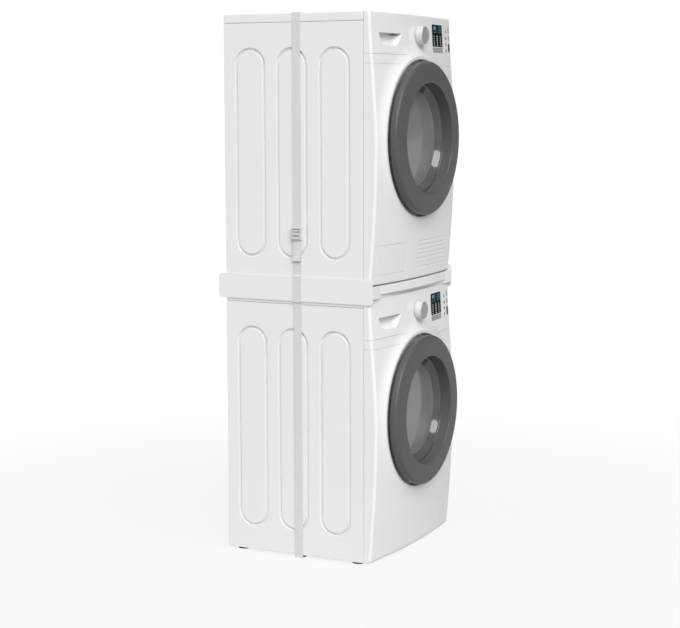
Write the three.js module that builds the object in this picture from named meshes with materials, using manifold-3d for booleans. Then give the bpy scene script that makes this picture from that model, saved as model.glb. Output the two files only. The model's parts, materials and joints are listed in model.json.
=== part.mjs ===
// A front-loading washing machine with a condenser tumble dryer stacked on it.
// A stacking kit with a pull-out shelf lies between them, and a webbing strap holds both.
//
// Millimetres. +Z is up and Z = 0 is the floor. The front faces -Y, and +X is right seen from the front.
// The origin is the middle of the footprint.

import * as THREE from 'three';
import { mergeVertices } from 'three/addons/utils/BufferGeometryUtils.js';
import Module from 'manifold-3d';

const wasm = await Module();
wasm.setup();

// ---------------------------------------------------------------- driving dimensions

const WIDTH = 600; // each machine
const MACHINE_H = 850; // floor to top panel
const KIT_LIFT = 31; // from the washer's top to the dryer's floor
const SEAM_Y = -216; // where the steel side meets the moulded front
const BACK_Y = 278.5; // outside of the cabinet back
const GAP = 0.3; // between pieces that touch
const SHEET = 2; // folded steel of the cabinets
const SKIN = 3; // moulded fronts

const CABINET_BASE_Z = 10; // under edge of a cabinet above its own floor
const TOP_PANEL_T = 27.3;
const FASCIA_Z = 694; // lower edge of the control fascia
const DRAWER_Z = 723.5; // lower edge of the drawer front
const DRAWER_X = -76; // right edge of the drawer front
const RECESS = { x0: -252, x1: -114, z0: 748, z1: 788, depth: 24 }; // finger scoop in the drawer front

// The moulded front stands forward of the seam and is crowned both ways.
const FRONT_EDGE = 22; // at the top and bottom corners
const FRONT_CROWN_Z = 22.5; // added at mid height
const FRONT_CROWN_X = 19; // added at mid width
const FRONT_CORNER_R = 9;

const DOOR_Z = 461; // door centre above the machine's floor
const DOOR_R = 244;
const DOOR_BACK_Y = -276;
const DOOR_FRONT_Y = -307;
const WELL_R = 176; // mouth of the well in the door ring
const STEP_R = 171; // inner end of the well
const STEP_Y = -273;
const BOWL_R = 150; // flat front of the glass
const BOWL_Y = -251;
const DOOR_SIDES = 40; // facets round the door and its surround
const HINGE_X = 242; // on the right-hand side
const HINGE_Y = -291;
const SURROUND_R = 248; // hollow that the door closes into
const SURROUND_RIM_R = 262; // crest of the raised surround
const SURROUND_FOOT_R = 273;
const SURROUND_RIM_Y = -275;
const PORTHOLE_R = 181;

const KNOB_X = 6;
const KNOB_Z = 787.5;
const KNOB_R = 30;
const KNOB_BASE_Y = -262;
const KNOB_FACE_Y = -285;
const DISPLAY = { x0: 119, x1: 212, z0: 755, z1: 827, t: 4 };
const START = { x0: 272, x1: 286, z0: 741, z1: 769, t: 8 };
const FILTER_FLAP = { x0: 176, x1: 272, z0: 28, z1: 117 };
const CONDENSER_FLAP = { x0: -277, x1: -88, z0: 40, z1: 134 };
const LOUVRE = { x0: -12, x1: 240, z: 45, pitch: 14.2, count: 7, h: 5 };

const WASHER_DRUM_R = 240;
const TUB_R = 265;
const WASHER_PULLEY_R = 135;
const WASHER_MOTOR = { x: 0, z: 120, r: 58, pulleyR: 11 };
const DRYER_DRUM_R = 280;
const DRYER_MOTOR = { x: 170, z: 105, r: 55, pulleyR: 12 };
const ROLLER_R = 30;
const ROLLER_ANGLE = 40; // degrees each side of straight down
const FOOT = { x: 262, front: -180, back: 240, padR: 22, stemR: 6 };

const FLANGE = { t: 3, z0: 833, z1: 911, y0: -249.6, y1: 304 };
const RAIL_INNER_X = 247;
const RAIL_Z0 = 850.3;
const RAIL_Z1 = 880.7;

const STRAP = { y0: 1.5, y1: 30.5, t: 1.6, side: 300.4, floor: 1.4, top: 1731.4, overFlange: 304 };
const BUCKLE = { pinX: -308.8, pinZ: 1056, z0: 1028, z1: 1066 };

// ---------------------------------------------------------------- colours and finishes

const white = { color: 0xe9e9e7, roughness: 0.28, metalness: 0 };
const steelWhite = { color: 0xe6e6e4, roughness: 0.3, metalness: 0 };
const ringGrey = { color: 0x5f6062, roughness: 0.25, metalness: 0.2 };
const smokedGlass = { color: 0x8f9092, roughness: 0.08, metalness: 0 };
const displayBlack = { color: 0x0b1215, roughness: 0.08, metalness: 0 };
const silver = { color: 0xb5b5b4, roughness: 0.35, metalness: 0.4 };
const darkPlastic = { color: 0x3a3b3d, roughness: 0.5, metalness: 0 };
const greyPlastic = { color: 0x9a9c9e, roughness: 0.5, metalness: 0 };
const stainless = { color: 0xb9bcc0, roughness: 0.3, metalness: 1 };
const zinc = { color: 0xa9adb0, roughness: 0.4, metalness: 1 };
const rubber = { color: 0x6b6d70, roughness: 0.8, metalness: 0 };
const blackRubber = { color: 0x1d1d1e, roughness: 0.8, metalness: 0 };
const concrete = { color: 0x8d8b86, roughness: 0.95, metalness: 0 };
const webbing = { color: 0xd2cfc9, roughness: 0.85, metalness: 0 };

// ---------------------------------------------------------------- solids

function toSolid(geometry) {
  const bare = geometry.clone();
  bare.deleteAttribute('normal');
  bare.deleteAttribute('uv');
  const merged = mergeVertices(bare, 1e-3);
  const kept = [];
  const index = merged.index.array;
  for (let i = 0; i < index.length; i += 3) {
    const [a, b, c] = index.slice(i, i + 3);
    if (a !== b && b !== c && c !== a) kept.push(a, b, c);
  }
  return new wasm.Manifold(new wasm.Mesh({
    numProp: 3,
    vertProperties: new Float32Array(merged.attributes.position.array),
    triVerts: new Uint32Array(kept),
  }));
}

function toGeometry(solid) {
  const mesh = solid.getMesh();
  const geometry = new THREE.BufferGeometry();
  geometry.setAttribute('position', new THREE.BufferAttribute(new Float32Array(mesh.vertProperties), 3));
  geometry.setIndex(new THREE.BufferAttribute(new Uint32Array(mesh.triVerts), 1));
  geometry.computeVertexNormals();
  return geometry;
}

const join = (first, ...others) => others.reduce((sum, next) => sum.add(next), first);
const cut = (first, ...others) => others.reduce((rest, next) => rest.subtract(next), first);

// A box given by its low and high corner.
function block(x0, x1, y0, y1, z0, z1) {
  const box = new THREE.BoxGeometry(x1 - x0, y1 - y0, z1 - z0);
  box.translate((x0 + x1) / 2, (y0 + y1) / 2, (z0 + z1) / 2);
  return toSolid(box);
}

// An outline in X and Z, pushed along Y from y0 to y1. Points run counter-clockwise seen from the front.
function plateXZ(points, y0, y1) {
  const shape = new THREE.Shape(points.map(([x, z]) => new THREE.Vector2(x, z)));
  const geometry = new THREE.ExtrudeGeometry(shape, { depth: y1 - y0, bevelEnabled: false });
  geometry.rotateX(Math.PI / 2);
  geometry.translate(0, y1, 0);
  return toSolid(geometry);
}

// A turned part about the Y axis through (x, z). The profile is [radius, y] and closes on itself.
function turnedY(profile, x, z, segments = 40) {
  const points = profile.map(([r, y]) => new THREE.Vector2(r, y));
  points.push(points[0].clone());
  const area = points.reduce((sum, p, i) => sum + (i ? points[i - 1].cross(p) : 0), 0);
  if (area < 0) points.reverse();
  const geometry = new THREE.LatheGeometry(points, segments);
  geometry.translate(x, 0, z);
  return toSolid(geometry);
}

// A solid disc or a ring about the Y axis.
function discY(r, y0, y1, x, z, hole = 0, segments = 40) {
  return hole > 0
    ? turnedY([[hole, y0], [r, y0], [r, y1], [hole, y1]], x, z, segments)
    : turnedY([[0, y0], [r, y0], [r, y1], [0, y1]], x, z, segments);
}

// A cylinder between two heights.
function post(r, z0, z1, x, y, segments = 16) {
  const geometry = new THREE.CylinderGeometry(r, r, z1 - z0, segments);
  geometry.rotateX(Math.PI / 2);
  geometry.translate(x, y, (z0 + z1) / 2);
  return toSolid(geometry);
}

// A round rod along a path of points, in any direction.
function rod(points, r, steps, sides = 8) {
  const path = new THREE.CatmullRomCurve3(points.map((p) => new THREE.Vector3(...p)));
  const section = new THREE.Shape();
  section.absarc(0, 0, r, 0, 2 * Math.PI);
  return toSolid(new THREE.ExtrudeGeometry(section, {
    steps, extrudePath: path, curveSegments: sides, bevelEnabled: false,
  }));
}

// ---------------------------------------------------------------- the crowned front

// How far the corner of the front stands forward of the seam at a height.
function cornerReach(z) {
  const t = (z - CABINET_BASE_Z) / (MACHINE_H - CABINET_BASE_Z);
  const rise = Math.sin(Math.PI * Math.min(Math.max(t, 0), 1));
  return FRONT_EDGE + FRONT_CROWN_Z * rise ** (t > 0.5 ? 1.6 : 0.95);
}

// Y of the front's outside at a point.
const frontY = (x, z) => SEAM_Y - cornerReach(z) - FRONT_CROWN_X * (1 - (2 * x / WIDTH) ** 2);

// Half of a level's outline, from the seam to the middle, moved inward by `inset`.
function halfOutline(z, inset) {
  const side = WIDTH / 2 - inset;
  const radius = FRONT_CORNER_R - inset;
  const face = (x) => frontY(x, z) + inset;
  const turnX = side - radius;
  const points = [[side, SEAM_Y]];
  for (let i = 0; i <= 2; i += 1) {
    const a = (Math.PI / 4) * i;
    points.push([turnX + radius * Math.cos(a), face(turnX) + radius * (1 - Math.sin(a))]);
  }
  [0.75, 0.5, 0.25].forEach((share) => points.push([turnX * share, face(turnX * share)]));
  return points;
}

// The solid front between two heights, lofted level by level. It is inset to make the inside.
function frontSolid(z0, z1, inset, levels) {
  const rings = [];
  for (let i = 0; i <= levels; i += 1) {
    const z = z0 + ((z1 - z0) * i) / levels;
    const right = halfOutline(z, inset);
    const left = right.map(([x, y]) => [-x, y]).reverse();
    const loop = [...right, [0, frontY(0, z) + inset], ...left];
    rings.push(loop.map(([x, y]) => [x, y, z]));
  }
  const count = rings[0].length;
  const positions = [];
  const face = (a, b, c) => positions.push(...a, ...b, ...c);
  for (let i = 0; i < levels; i += 1) {
    for (let k = 0; k < count; k += 1) {
      const next = (k + 1) % count;
      face(rings[i][k], rings[i + 1][k], rings[i + 1][next]);
      face(rings[i][k], rings[i + 1][next], rings[i][next]);
    }
  }
  const fan = (ring, up) => {
    for (let k = 1; k < count - 1; k += 1) {
      if (up) face(ring[0], ring[k + 1], ring[k]);
      else face(ring[0], ring[k], ring[k + 1]);
    }
  };
  fan(rings[0], false);
  fan(rings[levels], true);
  const geometry = new THREE.BufferGeometry();
  geometry.setAttribute('position', new THREE.Float32BufferAttribute(positions, 3));
  return toSolid(geometry);
}

// A moulded skin: the front between two heights, hollow and open to the back.
// `roof` closes it with a flange at the top.
function frontSkin(z0, z1, roof, levels) {
  const hollow = frontSolid(z0 - 1, roof ? z1 - SKIN : z1 + 1, SKIN, levels);
  return cut(frontSolid(z0, z1, 0, levels), hollow, block(-297, 297, SEAM_Y - 1, SEAM_Y + 5, z0 - 1, z1 - SKIN));
}

// A flat outline in Y and Z, pushed along X from x0 to x1.
function plateYZ(shape, x0, x1, curveSegments = 4) {
  const geometry = new THREE.ExtrudeGeometry(shape, { depth: x1 - x0, bevelEnabled: false, curveSegments });
  const turn = new THREE.Matrix4().makeBasis(
    new THREE.Vector3(0, 1, 0), new THREE.Vector3(0, 0, 1), new THREE.Vector3(1, 0, 0),
  );
  geometry.applyMatrix4(turn);
  geometry.translate(x0, 0, 0);
  return toSolid(geometry);
}

// A rectangle with rounded corners, as a shape.
function roundedRectangle(x0, x1, y0, y1, r) {
  const shape = new THREE.Shape();
  shape.absarc(x1 - r, y0 + r, r, -Math.PI / 2, 0);
  shape.absarc(x1 - r, y1 - r, r, 0, Math.PI / 2);
  shape.absarc(x0 + r, y1 - r, r, Math.PI / 2, Math.PI);
  shape.absarc(x0 + r, y0 + r, r, Math.PI, Math.PI * 1.5);
  return shape;
}

// A flat belt round two pulleys in the XZ plane, as a closed loop.
function belt(large, small, thickness, y0, y1) {
  const dx = small.x - large.x;
  const dz = small.z - large.z;
  const heading = Math.atan2(dz, dx);
  const lean = Math.acos((large.r - small.r) / Math.hypot(dx, dz));
  const outline = (extra) => {
    const points = [];
    const arc = (centre, from, to, steps) => {
      for (let i = 0; i <= steps; i += 1) {
        const a = from + ((to - from) * i) / steps;
        points.push([centre.x + (centre.r + extra) * Math.cos(a), centre.z + (centre.r + extra) * Math.sin(a)]);
      }
    };
    arc(large, heading + lean, heading - lean + 2 * Math.PI, 22);
    arc(small, heading - lean, heading + lean, 6);
    return points;
  };
  return cut(plateXZ(outline(thickness), y0, y1), plateXZ(outline(0), y0 - 1, y1 + 1));
}

// ---------------------------------------------------------------- the scene

const stack = new THREE.Group();
const washer = new THREE.Group();
const dryer = new THREE.Group();
dryer.position.z = MACHINE_H + KIT_LIFT;
stack.add(washer, dryer);

function add(group, name, solid, finish) {
  const mesh = new THREE.Mesh(toGeometry(solid), new THREE.MeshStandardMaterial(finish));
  mesh.name = name;
  group.add(mesh);
}

// ---------------------------------------------------------------- casing, common to both machines

// Folded steel: two sides, the back and a base tray with holes for the feet.
function cabinet() {
  const outside = block(-300, 300, SEAM_Y + GAP, BACK_Y, CABINET_BASE_Z, MACHINE_H - TOP_PANEL_T - GAP);
  const inside = block(-300 + SHEET, 300 - SHEET, SEAM_Y - 1, BACK_Y - SHEET, CABINET_BASE_Z + 4, MACHINE_H);
  const holes = footPlaces().map(([x, y]) => post(FOOT.stemR + 0.8, 0, 30, x, y, 8));
  return cut(outside, inside, ...holes);
}

function footPlaces() {
  return [[-FOOT.x, FOOT.front], [FOOT.x, FOOT.front], [-FOOT.x, FOOT.back], [FOOT.x, FOOT.back]];
}

function topPanel() {
  return block(-300, 300, SEAM_Y + GAP, BACK_Y, MACHINE_H - TOP_PANEL_T, MACHINE_H);
}

// The raised, rounded surround of the door, its hollow, and the collar of the porthole.
function doorSurround() {
  const hollowFloor = -254;
  return turnedY([
    [SURROUND_FOOT_R, -251], [SURROUND_FOOT_R, -263], [269, -270], [SURROUND_RIM_R, SURROUND_RIM_Y],
    [SURROUND_R + 7, SURROUND_RIM_Y], [SURROUND_R, -270], [SURROUND_R, hollowFloor],
    [PORTHOLE_R, hollowFloor], [PORTHOLE_R, -236], [PORTHOLE_R + 3, -236], [PORTHOLE_R + 3, -251],
  ], 0, DOOR_Z, DOOR_SIDES);
}

function frontPanel(...openings) {
  const skin = frontSkin(CABINET_BASE_Z, FASCIA_Z - GAP, false, 6);
  const open = cut(skin, discY(SURROUND_R + 1, -400, 0, 0, DOOR_Z, 0, DOOR_SIDES), ...openings);
  return join(open, doorSurround());
}

// The part of the moulded skin that lies between two corners in X and Z, `margin` smaller all round.
function skinPatch({ x0, x1, z0, z1 }, margin, depth) {
  const z = [z0 + margin, z1 - margin];
  const slab = cut(frontSolid(z[0], z[1], 0, 3), frontSolid(z[0] - 1, z[1] + 1, depth, 3));
  return slab.intersect(block(x0 + margin, x1 - margin, -400, SEAM_Y - 1, z[0] - 1, z[1] + 1));
}

const patchHole = ({ x0, x1, z0, z1 }) => block(x0, x1, -400, SEAM_Y, z0, z1);

// The fascia, with a carrier bar behind it that ties its left strip to the rest past the door surround.
function fascia() {
  const skin = frontSkin(FASCIA_Z, MACHINE_H, true, 5);
  const carrier = block(-298, 298, -238, -232, FASCIA_Z + 3, DRAWER_Z - 3);
  return join(carrier, cut(
    skin,
    block(-301, DRAWER_X + GAP, -400, SEAM_Y + 5, DRAWER_Z - GAP, MACHINE_H + 1),
    discY(SURROUND_FOOT_R + 0.6, -400, -200, 0, DOOR_Z, 0, DOOR_SIDES),
    discY(7, -400, -200, KNOB_X, KNOB_Z, 0, 16),
    patchHole(DISPLAY),
    patchHole(START),
  ));
}

// A drawer's front wraps round the left corner. The finger scoop is cut into a pocket behind it.
function drawerFront() {
  const room = block(-301, DRAWER_X - GAP, -400, SEAM_Y + 5, DRAWER_Z, MACHINE_H + 1);
  const skin = frontSkin(DRAWER_Z + GAP, MACHINE_H, true, 4).intersect(room);
  const { x0, x1, z0, z1, depth } = RECESS;
  const pocketBack = frontY((x0 + x1) / 2, z0) + depth + 4;
  const pocket = frontSolid(DRAWER_Z + GAP, MACHINE_H, 0, 4).intersect(
    block(x0 - 5, x1 + 5, -400, pocketBack, z0 - 5, z1 + 5),
  );
  const scoop = [[x0 + 32, z0], [x1 - 32, z0], [x1 - 12, z0 + 8], [x1, z0 + 26], [x1, z1],
    [x0, z1], [x0, z0 + 26], [x0 + 12, z0 + 8]];
  return cut(join(skin, pocket), plateXZ(scoop, -400, pocketBack - 4));
}

function knob() {
  const hub = [[0, -250], [5, -250], [5, KNOB_BASE_Y]];
  const cap = [[KNOB_R, KNOB_BASE_Y], [KNOB_R, -266], [KNOB_R - 1.5, KNOB_FACE_Y + 2],
    [KNOB_R - 3.5, KNOB_FACE_Y], [0, KNOB_FACE_Y]];
  return turnedY([...hub, ...cap], KNOB_X, KNOB_Z, 20);
}

// The thick grey ring of the door, with a notch and a barrel for the hinge.
function doorRing() {
  const ring = turnedY([
    [WELL_R, DOOR_FRONT_Y], [DOOR_R - 10, DOOR_FRONT_Y], [DOOR_R, -297], [DOOR_R, -281],
    [DOOR_R - 5, DOOR_BACK_Y], [206, DOOR_BACK_Y], [200, -256.6], [STEP_R + 1, -256.6], [STEP_R + 1, STEP_Y],
  ], 0, DOOR_Z, DOOR_SIDES);
  const notch = block(HINGE_X - 18, 252, -297, -270, DOOR_Z - 36, DOOR_Z + 36);
  const barrel = join(
    post(5, DOOR_Z - 15.5, DOOR_Z + 15.5, HINGE_X, HINGE_Y, 12),
    block(HINGE_X - 20, HINGE_X, HINGE_Y - 3, HINGE_Y + 3, DOOR_Z - 15.5, DOOR_Z + 15.5),
  );
  return cut(join(cut(ring, notch), barrel), post(3, DOOR_Z - 20, DOOR_Z + 20, HINGE_X, HINGE_Y, 12));
}

function doorGlass() {
  return turnedY([
    [0, BOWL_Y], [BOWL_R, BOWL_Y], [168, STEP_Y], [STEP_R + 0.6, STEP_Y], [STEP_R + 0.6, -267],
    [BOWL_R + 3, BOWL_Y + 4.5], [0, BOWL_Y + 4.5],
  ], 0, DOOR_Z, DOOR_SIDES);
}

// A plate in the door's hollow with two lugs that hold the pin.
function doorHinge() {
  const plate = block(212, 243, -257, -254.4, DOOR_Z - 38, DOOR_Z + 38);
  const lugs = [-1, 1].map((side) => {
    const z = [DOOR_Z + side * 20 - 4, DOOR_Z + side * 20 + 4];
    return join(
      block(HINGE_X - 3, HINGE_X + 3, HINGE_Y, -255, z[0], z[1]),
      post(3.2, z[0], z[1], HINGE_X, HINGE_Y, 12),
    );
  });
  return join(plate, ...lugs, post(2.5, DOOR_Z - 22, DOOR_Z + 22, HINGE_X, HINGE_Y, 12));
}

// Three lifter ribs inside a drum.
function lifters(r, y0, y1) {
  return [30, 150, 270].map((degrees) => {
    const a = THREE.MathUtils.degToRad(degrees);
    const place = (along, across) => [
      along * Math.cos(a) - across * Math.sin(a), DOOR_Z + along * Math.sin(a) + across * Math.cos(a),
    ];
    return plateXZ([place(r + 1, 24), place(r - 32, 9), place(r - 32, -9), place(r + 1, -24)].reverse(), y0, y1);
  });
}

function addCommonParts(group, prefix) {
  add(group, `${prefix}_cabinet`, cabinet(), steelWhite);
  add(group, `${prefix}_top_panel`, topPanel(), steelWhite);
  add(group, `${prefix}_control_panel`, fascia(), white);
  add(group, `${prefix}_program_knob`, knob(), silver);
  add(group, `${prefix}_display`, skinPatch(DISPLAY, GAP, DISPLAY.t), displayBlack);
  add(group, `${prefix}_start_button`, skinPatch(START, 0.4, START.t), darkPlastic);
  add(group, `${prefix}_door_ring`, doorRing(), ringGrey);
  add(group, `${prefix}_door_glass`, doorGlass(), smokedGlass);
  add(group, `${prefix}_door_hinge`, doorHinge(), zinc);
  footPlaces().forEach(([x, y]) => {
    const name = `${prefix}_foot_${y < 0 ? 'front' : 'back'}_${x < 0 ? 'left' : 'right'}`;
    add(group, name, join(post(FOOT.padR, 0, 8, x, y, 16), post(FOOT.stemR, 7, 44, x, y, 8)), blackRubber);
  });
}

// ---------------------------------------------------------------- washing machine

addCommonParts(washer, 'washer');
add(washer, 'washer_front_panel', frontPanel(patchHole(FILTER_FLAP)), white);
add(washer, 'washer_filter_flap', skinPatch(FILTER_FLAP, 0.4, SKIN), white);

// The drawer's tray has a wide wash side and a narrow softener side.
add(washer, 'washer_detergent_drawer', join(
  drawerFront(),
  cut(
    block(-262, -92, -229, 20, 733, 803),
    block(-259, -178, -226, 17, 736, 804),
    block(-175, -95, -226, 17, 736, 804),
  ),
), white);
add(washer, 'washer_drawer_housing', cut(
  block(-267, -87, -212, 30, 728, 812),
  block(-264.5, -89.5, -213, 27.5, 730.5, 809.5),
), greyPlastic);

const bearing = { r: 15.4, y0: 180, y1: 200 };
add(washer, 'washer_tub', turnedY([
  [172, -160], [TUB_R, -160], [TUB_R, 190], [40, 190], [40, bearing.y1], [bearing.r, bearing.y1],
  [bearing.r, bearing.y0], [TUB_R - 5, bearing.y0], [TUB_R - 5, -155], [172, -155],
], 0, DOOR_Z, 28), greyPlastic);
add(washer, 'washer_drum', join(
  turnedY([
    [0, 162], [WASHER_DRUM_R - 3, 162], [WASHER_DRUM_R - 3, -137], [165, -137], [165, -140],
    [WASHER_DRUM_R, -140], [WASHER_DRUM_R, 165], [14.5, 165], [14.5, 236], [0, 236],
  ], 0, DOOR_Z, 28),
  ...lifters(WASHER_DRUM_R - 4, -130, 155),
), stainless);
add(washer, 'washer_drum_pulley', turnedY([
  [15, 204], [24, 204], [24, 211], [WASHER_PULLEY_R, 207],
  [WASHER_PULLEY_R, 222], [24, 218], [24, 226], [15, 226],
], 0, DOOR_Z, 28), zinc);
add(washer, 'washer_drive_belt', belt(
  { x: 0, z: DOOR_Z, r: WASHER_PULLEY_R + 1.2 },
  { x: WASHER_MOTOR.x, z: WASHER_MOTOR.z, r: WASHER_MOTOR.pulleyR + 0.4 }, 3, 208, 221,
), blackRubber);
add(washer, 'washer_motor', join(
  discY(WASHER_MOTOR.r, 40, 190, WASHER_MOTOR.x, WASHER_MOTOR.z, 6.8, 20),
  block(-14, 14, 60, 80, 170, 195.5),
  block(-14, 14, 150, 170, 170, 195.5),
), zinc);
add(washer, 'washer_motor_pulley', join(
  discY(6, 150, 224, WASHER_MOTOR.x, WASHER_MOTOR.z, 0, 16),
  discY(WASHER_MOTOR.pulleyR, 206, 224, WASHER_MOTOR.x, WASHER_MOTOR.z, 0, 20),
), zinc);
add(washer, 'washer_counterweight', cut(
  discY(256, -186, -160.6, 0, DOOR_Z, 188, 28),
  block(-300, 300, -200, -100, 0, DOOR_Z + 30),
), concrete);
add(washer, 'washer_door_gasket', turnedY([
  [174, -249], [PORTHOLE_R - 1.5, -249], [PORTHOLE_R - 1.5, -235], [185, -218], [179, -200], [185, -184],
  [179, -160.6], [174, -160.6], [180, -184], [174, -200], [180, -218], [174, -235],
], 0, DOOR_Z, 28), rubber);
add(washer, 'washer_drain_pump', join(
  discY(31, -205, -150, 224, 72, 0, 24),
  discY(24, -151, -90, 224, 72, 0, 20),
), greyPlastic);
[['left', -1], ['right', 1]].forEach(([side, sign]) => {
  const x = sign * 215;
  const turns = 7;
  const coil = [];
  for (let i = 0; i <= turns * 6; i += 1) {
    const a = (Math.PI / 3) * i;
    coil.push([x + 9 * Math.cos(a), 120 + 9 * Math.sin(a), 632 + (170 * i) / (turns * 6)]);
  }
  add(washer, `washer_tub_spring_${side}`, rod(coil, 2, turns * 5, 2), zinc);
  add(washer, `washer_damper_${side}`, join(
    post(11, 14.4, 150, sign * 180, -60, 12), post(5, 149, 258, sign * 180, -60, 8),
  ), darkPlastic);
});

// ---------------------------------------------------------------- dryer

addCommonParts(dryer, 'dryer');
const louvreSlots = Array.from({ length: LOUVRE.count }, (_, i) => {
  const z = LOUVRE.z + i * LOUVRE.pitch;
  return block(LOUVRE.x0, LOUVRE.x1, -400, SEAM_Y, z - LOUVRE.h / 2, z + LOUVRE.h / 2);
});
add(dryer, 'dryer_front_panel', frontPanel(patchHole(CONDENSER_FLAP), ...louvreSlots), white);
add(dryer, 'dryer_condenser_flap', skinPatch(CONDENSER_FLAP, 0.4, SKIN), white);

// The tank is closed but for the slot where the condensate runs in.
add(dryer, 'dryer_water_tank', cut(
  join(drawerFront(), block(-264, -90, -229, 150, 733, 803)),
  block(-261.5, -92.5, -226, 147.5, 735.5, 800.5),
  block(-215, -150, 50, 120, 799, 804),
), white);
add(dryer, 'dryer_drum', join(
  turnedY([
    [0, 202], [DRYER_DRUM_R - 2.5, 202], [DRYER_DRUM_R - 2.5, -173.5], [215, -173.5], [215, -176],
    [DRYER_DRUM_R, -176], [DRYER_DRUM_R, 205], [12, 205], [12, 222], [0, 222],
  ], 0, DOOR_Z, 36),
  ...lifters(DRYER_DRUM_R - 3.5, -166, 198),
), stainless);
add(dryer, 'dryer_drum_belt', belt(
  { x: 0, z: DOOR_Z, r: DRYER_DRUM_R + 2.2 },
  { x: DRYER_MOTOR.x, z: DRYER_MOTOR.z, r: DRYER_MOTOR.pulleyR + 0.5 }, 2.2, 123, 133,
), blackRubber);
add(dryer, 'dryer_motor', discY(DRYER_MOTOR.r, -40, 110, DRYER_MOTOR.x, DRYER_MOTOR.z, 5.8, 20), zinc);
add(dryer, 'dryer_fan', join(
  discY(5, 60, 258, DRYER_MOTOR.x, DRYER_MOTOR.z, 0, 16),
  discY(DRYER_MOTOR.pulleyR, 120, 136, DRYER_MOTOR.x, DRYER_MOTOR.z, 0, 20),
  discY(80, 228, 231, DRYER_MOTOR.x, DRYER_MOTOR.z, 0, 20),
  discY(80, 230, 256, DRYER_MOTOR.x, DRYER_MOTOR.z, 60, 20),
), greyPlastic);
[['left', -1], ['right', 1]].forEach(([side, sign]) => {
  const a = THREE.MathUtils.degToRad(ROLLER_ANGLE);
  const reach = DRYER_DRUM_R + ROLLER_R + 0.6;
  const x = sign * reach * Math.sin(a);
  const z = DOOR_Z - reach * Math.cos(a);
  add(dryer, `dryer_support_roller_${side}`, join(
    discY(ROLLER_R, -165, -145, x, z, 0, 20), discY(6, -172, -138, x, z, 0, 10),
  ), blackRubber);
});
const condenserSlots = [58, 76, 94, 112].map((z) => block(-300, 0, -205, 115, z, z + 8));
add(dryer, 'dryer_condenser', cut(block(-262, -100, -231, 140, 46, 126), ...condenserSlots), zinc);
add(dryer, 'dryer_front_bulkhead', turnedY([
  [185.6, -249.5], [189, -249.5], [189, -203], [262, -203], [262, -182], [258, -182], [258, -199], [185.6, -199],
], 0, DOOR_Z, 28), greyPlastic);
add(dryer, 'dryer_lint_filter', cut(
  block(-55, 55, -232, -202, 291, 306), block(-51, 51, -229, -205, 294, 307),
), greyPlastic);

// ---------------------------------------------------------------- stacking kit

const flanges = [-1, 1].map((side) => {
  const outline = roundedRectangle(FLANGE.y0, FLANGE.y1, FLANGE.z0, FLANGE.z1, 12);
  const x = side < 0 ? [-303.6, -303.6 + FLANGE.t] : [303.6 - FLANGE.t, 303.6];
  return plateYZ(outline, x[0], x[1]);
});
const rails = [-1, 1].flatMap((side) => {
  const x = side < 0 ? [-303, -RAIL_INNER_X] : [RAIL_INNER_X, 303];
  return [
    block(x[0], x[1], FLANGE.y0, 276, RAIL_Z0, RAIL_Z1),
    block(x[0], x[1], FLANGE.y0, -240, RAIL_Z0, 889.5),
  ];
});
add(stack, 'kit_frame', join(
  ...flanges, ...rails,
  block(-250, 250, -246, -233, RAIL_Z0, 861.5),
  block(-250, 250, 256, 276, RAIL_Z0, RAIL_Z1),
), white);

// The pull-out shelf: a tray with a bowed front that is also its grip.
function bowedFront(halfWidth, z0, z1) {
  const shape = new THREE.Shape();
  shape.moveTo(-halfWidth, -236);
  shape.lineTo(-halfWidth, -251);
  shape.quadraticCurveTo(0, -281, halfWidth, -251);
  shape.lineTo(halfWidth, -236);
  const geometry = new THREE.ExtrudeGeometry(shape, { depth: z1 - z0, bevelEnabled: false, curveSegments: 12 });
  geometry.translate(0, 0, z0);
  return toSolid(geometry);
}
add(stack, 'kit_shelf', join(
  cut(block(-244, 244, -237, 235, 866, 878), block(-240, 240, -230, 231, 869, 879)),
  bowedFront(245.5, 863, 889),
), white);

// The strap runs round both machines and over the kit's flanges, with a short free tail.
function strapOutline(extra) {
  const side = STRAP.side + extra;
  const bump = STRAP.overFlange + extra;
  const right = [[side, STRAP.floor + STRAP.t - extra], [side, 826], [bump, 831], [bump, 913], [side, 918],
    [side, STRAP.top + extra]];
  const left = right.map(([x, z]) => [-x, z]).reverse();
  return [...right, ...left];
}
add(stack, 'strap', join(
  cut(
    plateXZ(strapOutline(STRAP.t), STRAP.y0, STRAP.y1),
    plateXZ(strapOutline(0), STRAP.y0 - 1, STRAP.y1 + 1),
  ),
  block(-306, -304.4, STRAP.y0, STRAP.y1, 962, 1040),
  block(-305, -301.5, STRAP.y0, STRAP.y1, 1036, 1040),
), webbing);

const cheeks = [[STRAP.y0 - 2.7, STRAP.y0 - 0.6], [STRAP.y1 + 0.6, STRAP.y1 + 2.7]];
const acrossBuckle = [cheeks[0][0], cheeks[1][1]];
add(stack, 'buckle_frame', join(
  ...cheeks.map(([y0, y1]) => block(-310.8, -302.4, y0, y1, BUCKLE.z0, BUCKLE.z1)),
  block(-305.6, -302.4, ...acrossBuckle, BUCKLE.z1 - 4, BUCKLE.z1),
  block(-304.1, -302.4, ...acrossBuckle, BUCKLE.z0, BUCKLE.z0 + 4),
), zinc);
add(stack, 'buckle_lever', join(
  discY(2, STRAP.y0, STRAP.y1, BUCKLE.pinX, BUCKLE.pinZ, 0, 12),
  block(-312, -310.2, STRAP.y0, STRAP.y1, BUCKLE.z0 + 2, BUCKLE.pinZ + 1),
  block(-311, -309.4, STRAP.y0, STRAP.y1, BUCKLE.pinZ - 2, BUCKLE.pinZ + 1),
), zinc);

export default stack;
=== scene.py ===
import json
import math

import bmesh
import bpy
import numpy as np
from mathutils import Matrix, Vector
from mathutils.geometry import tessellate_polygon

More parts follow.
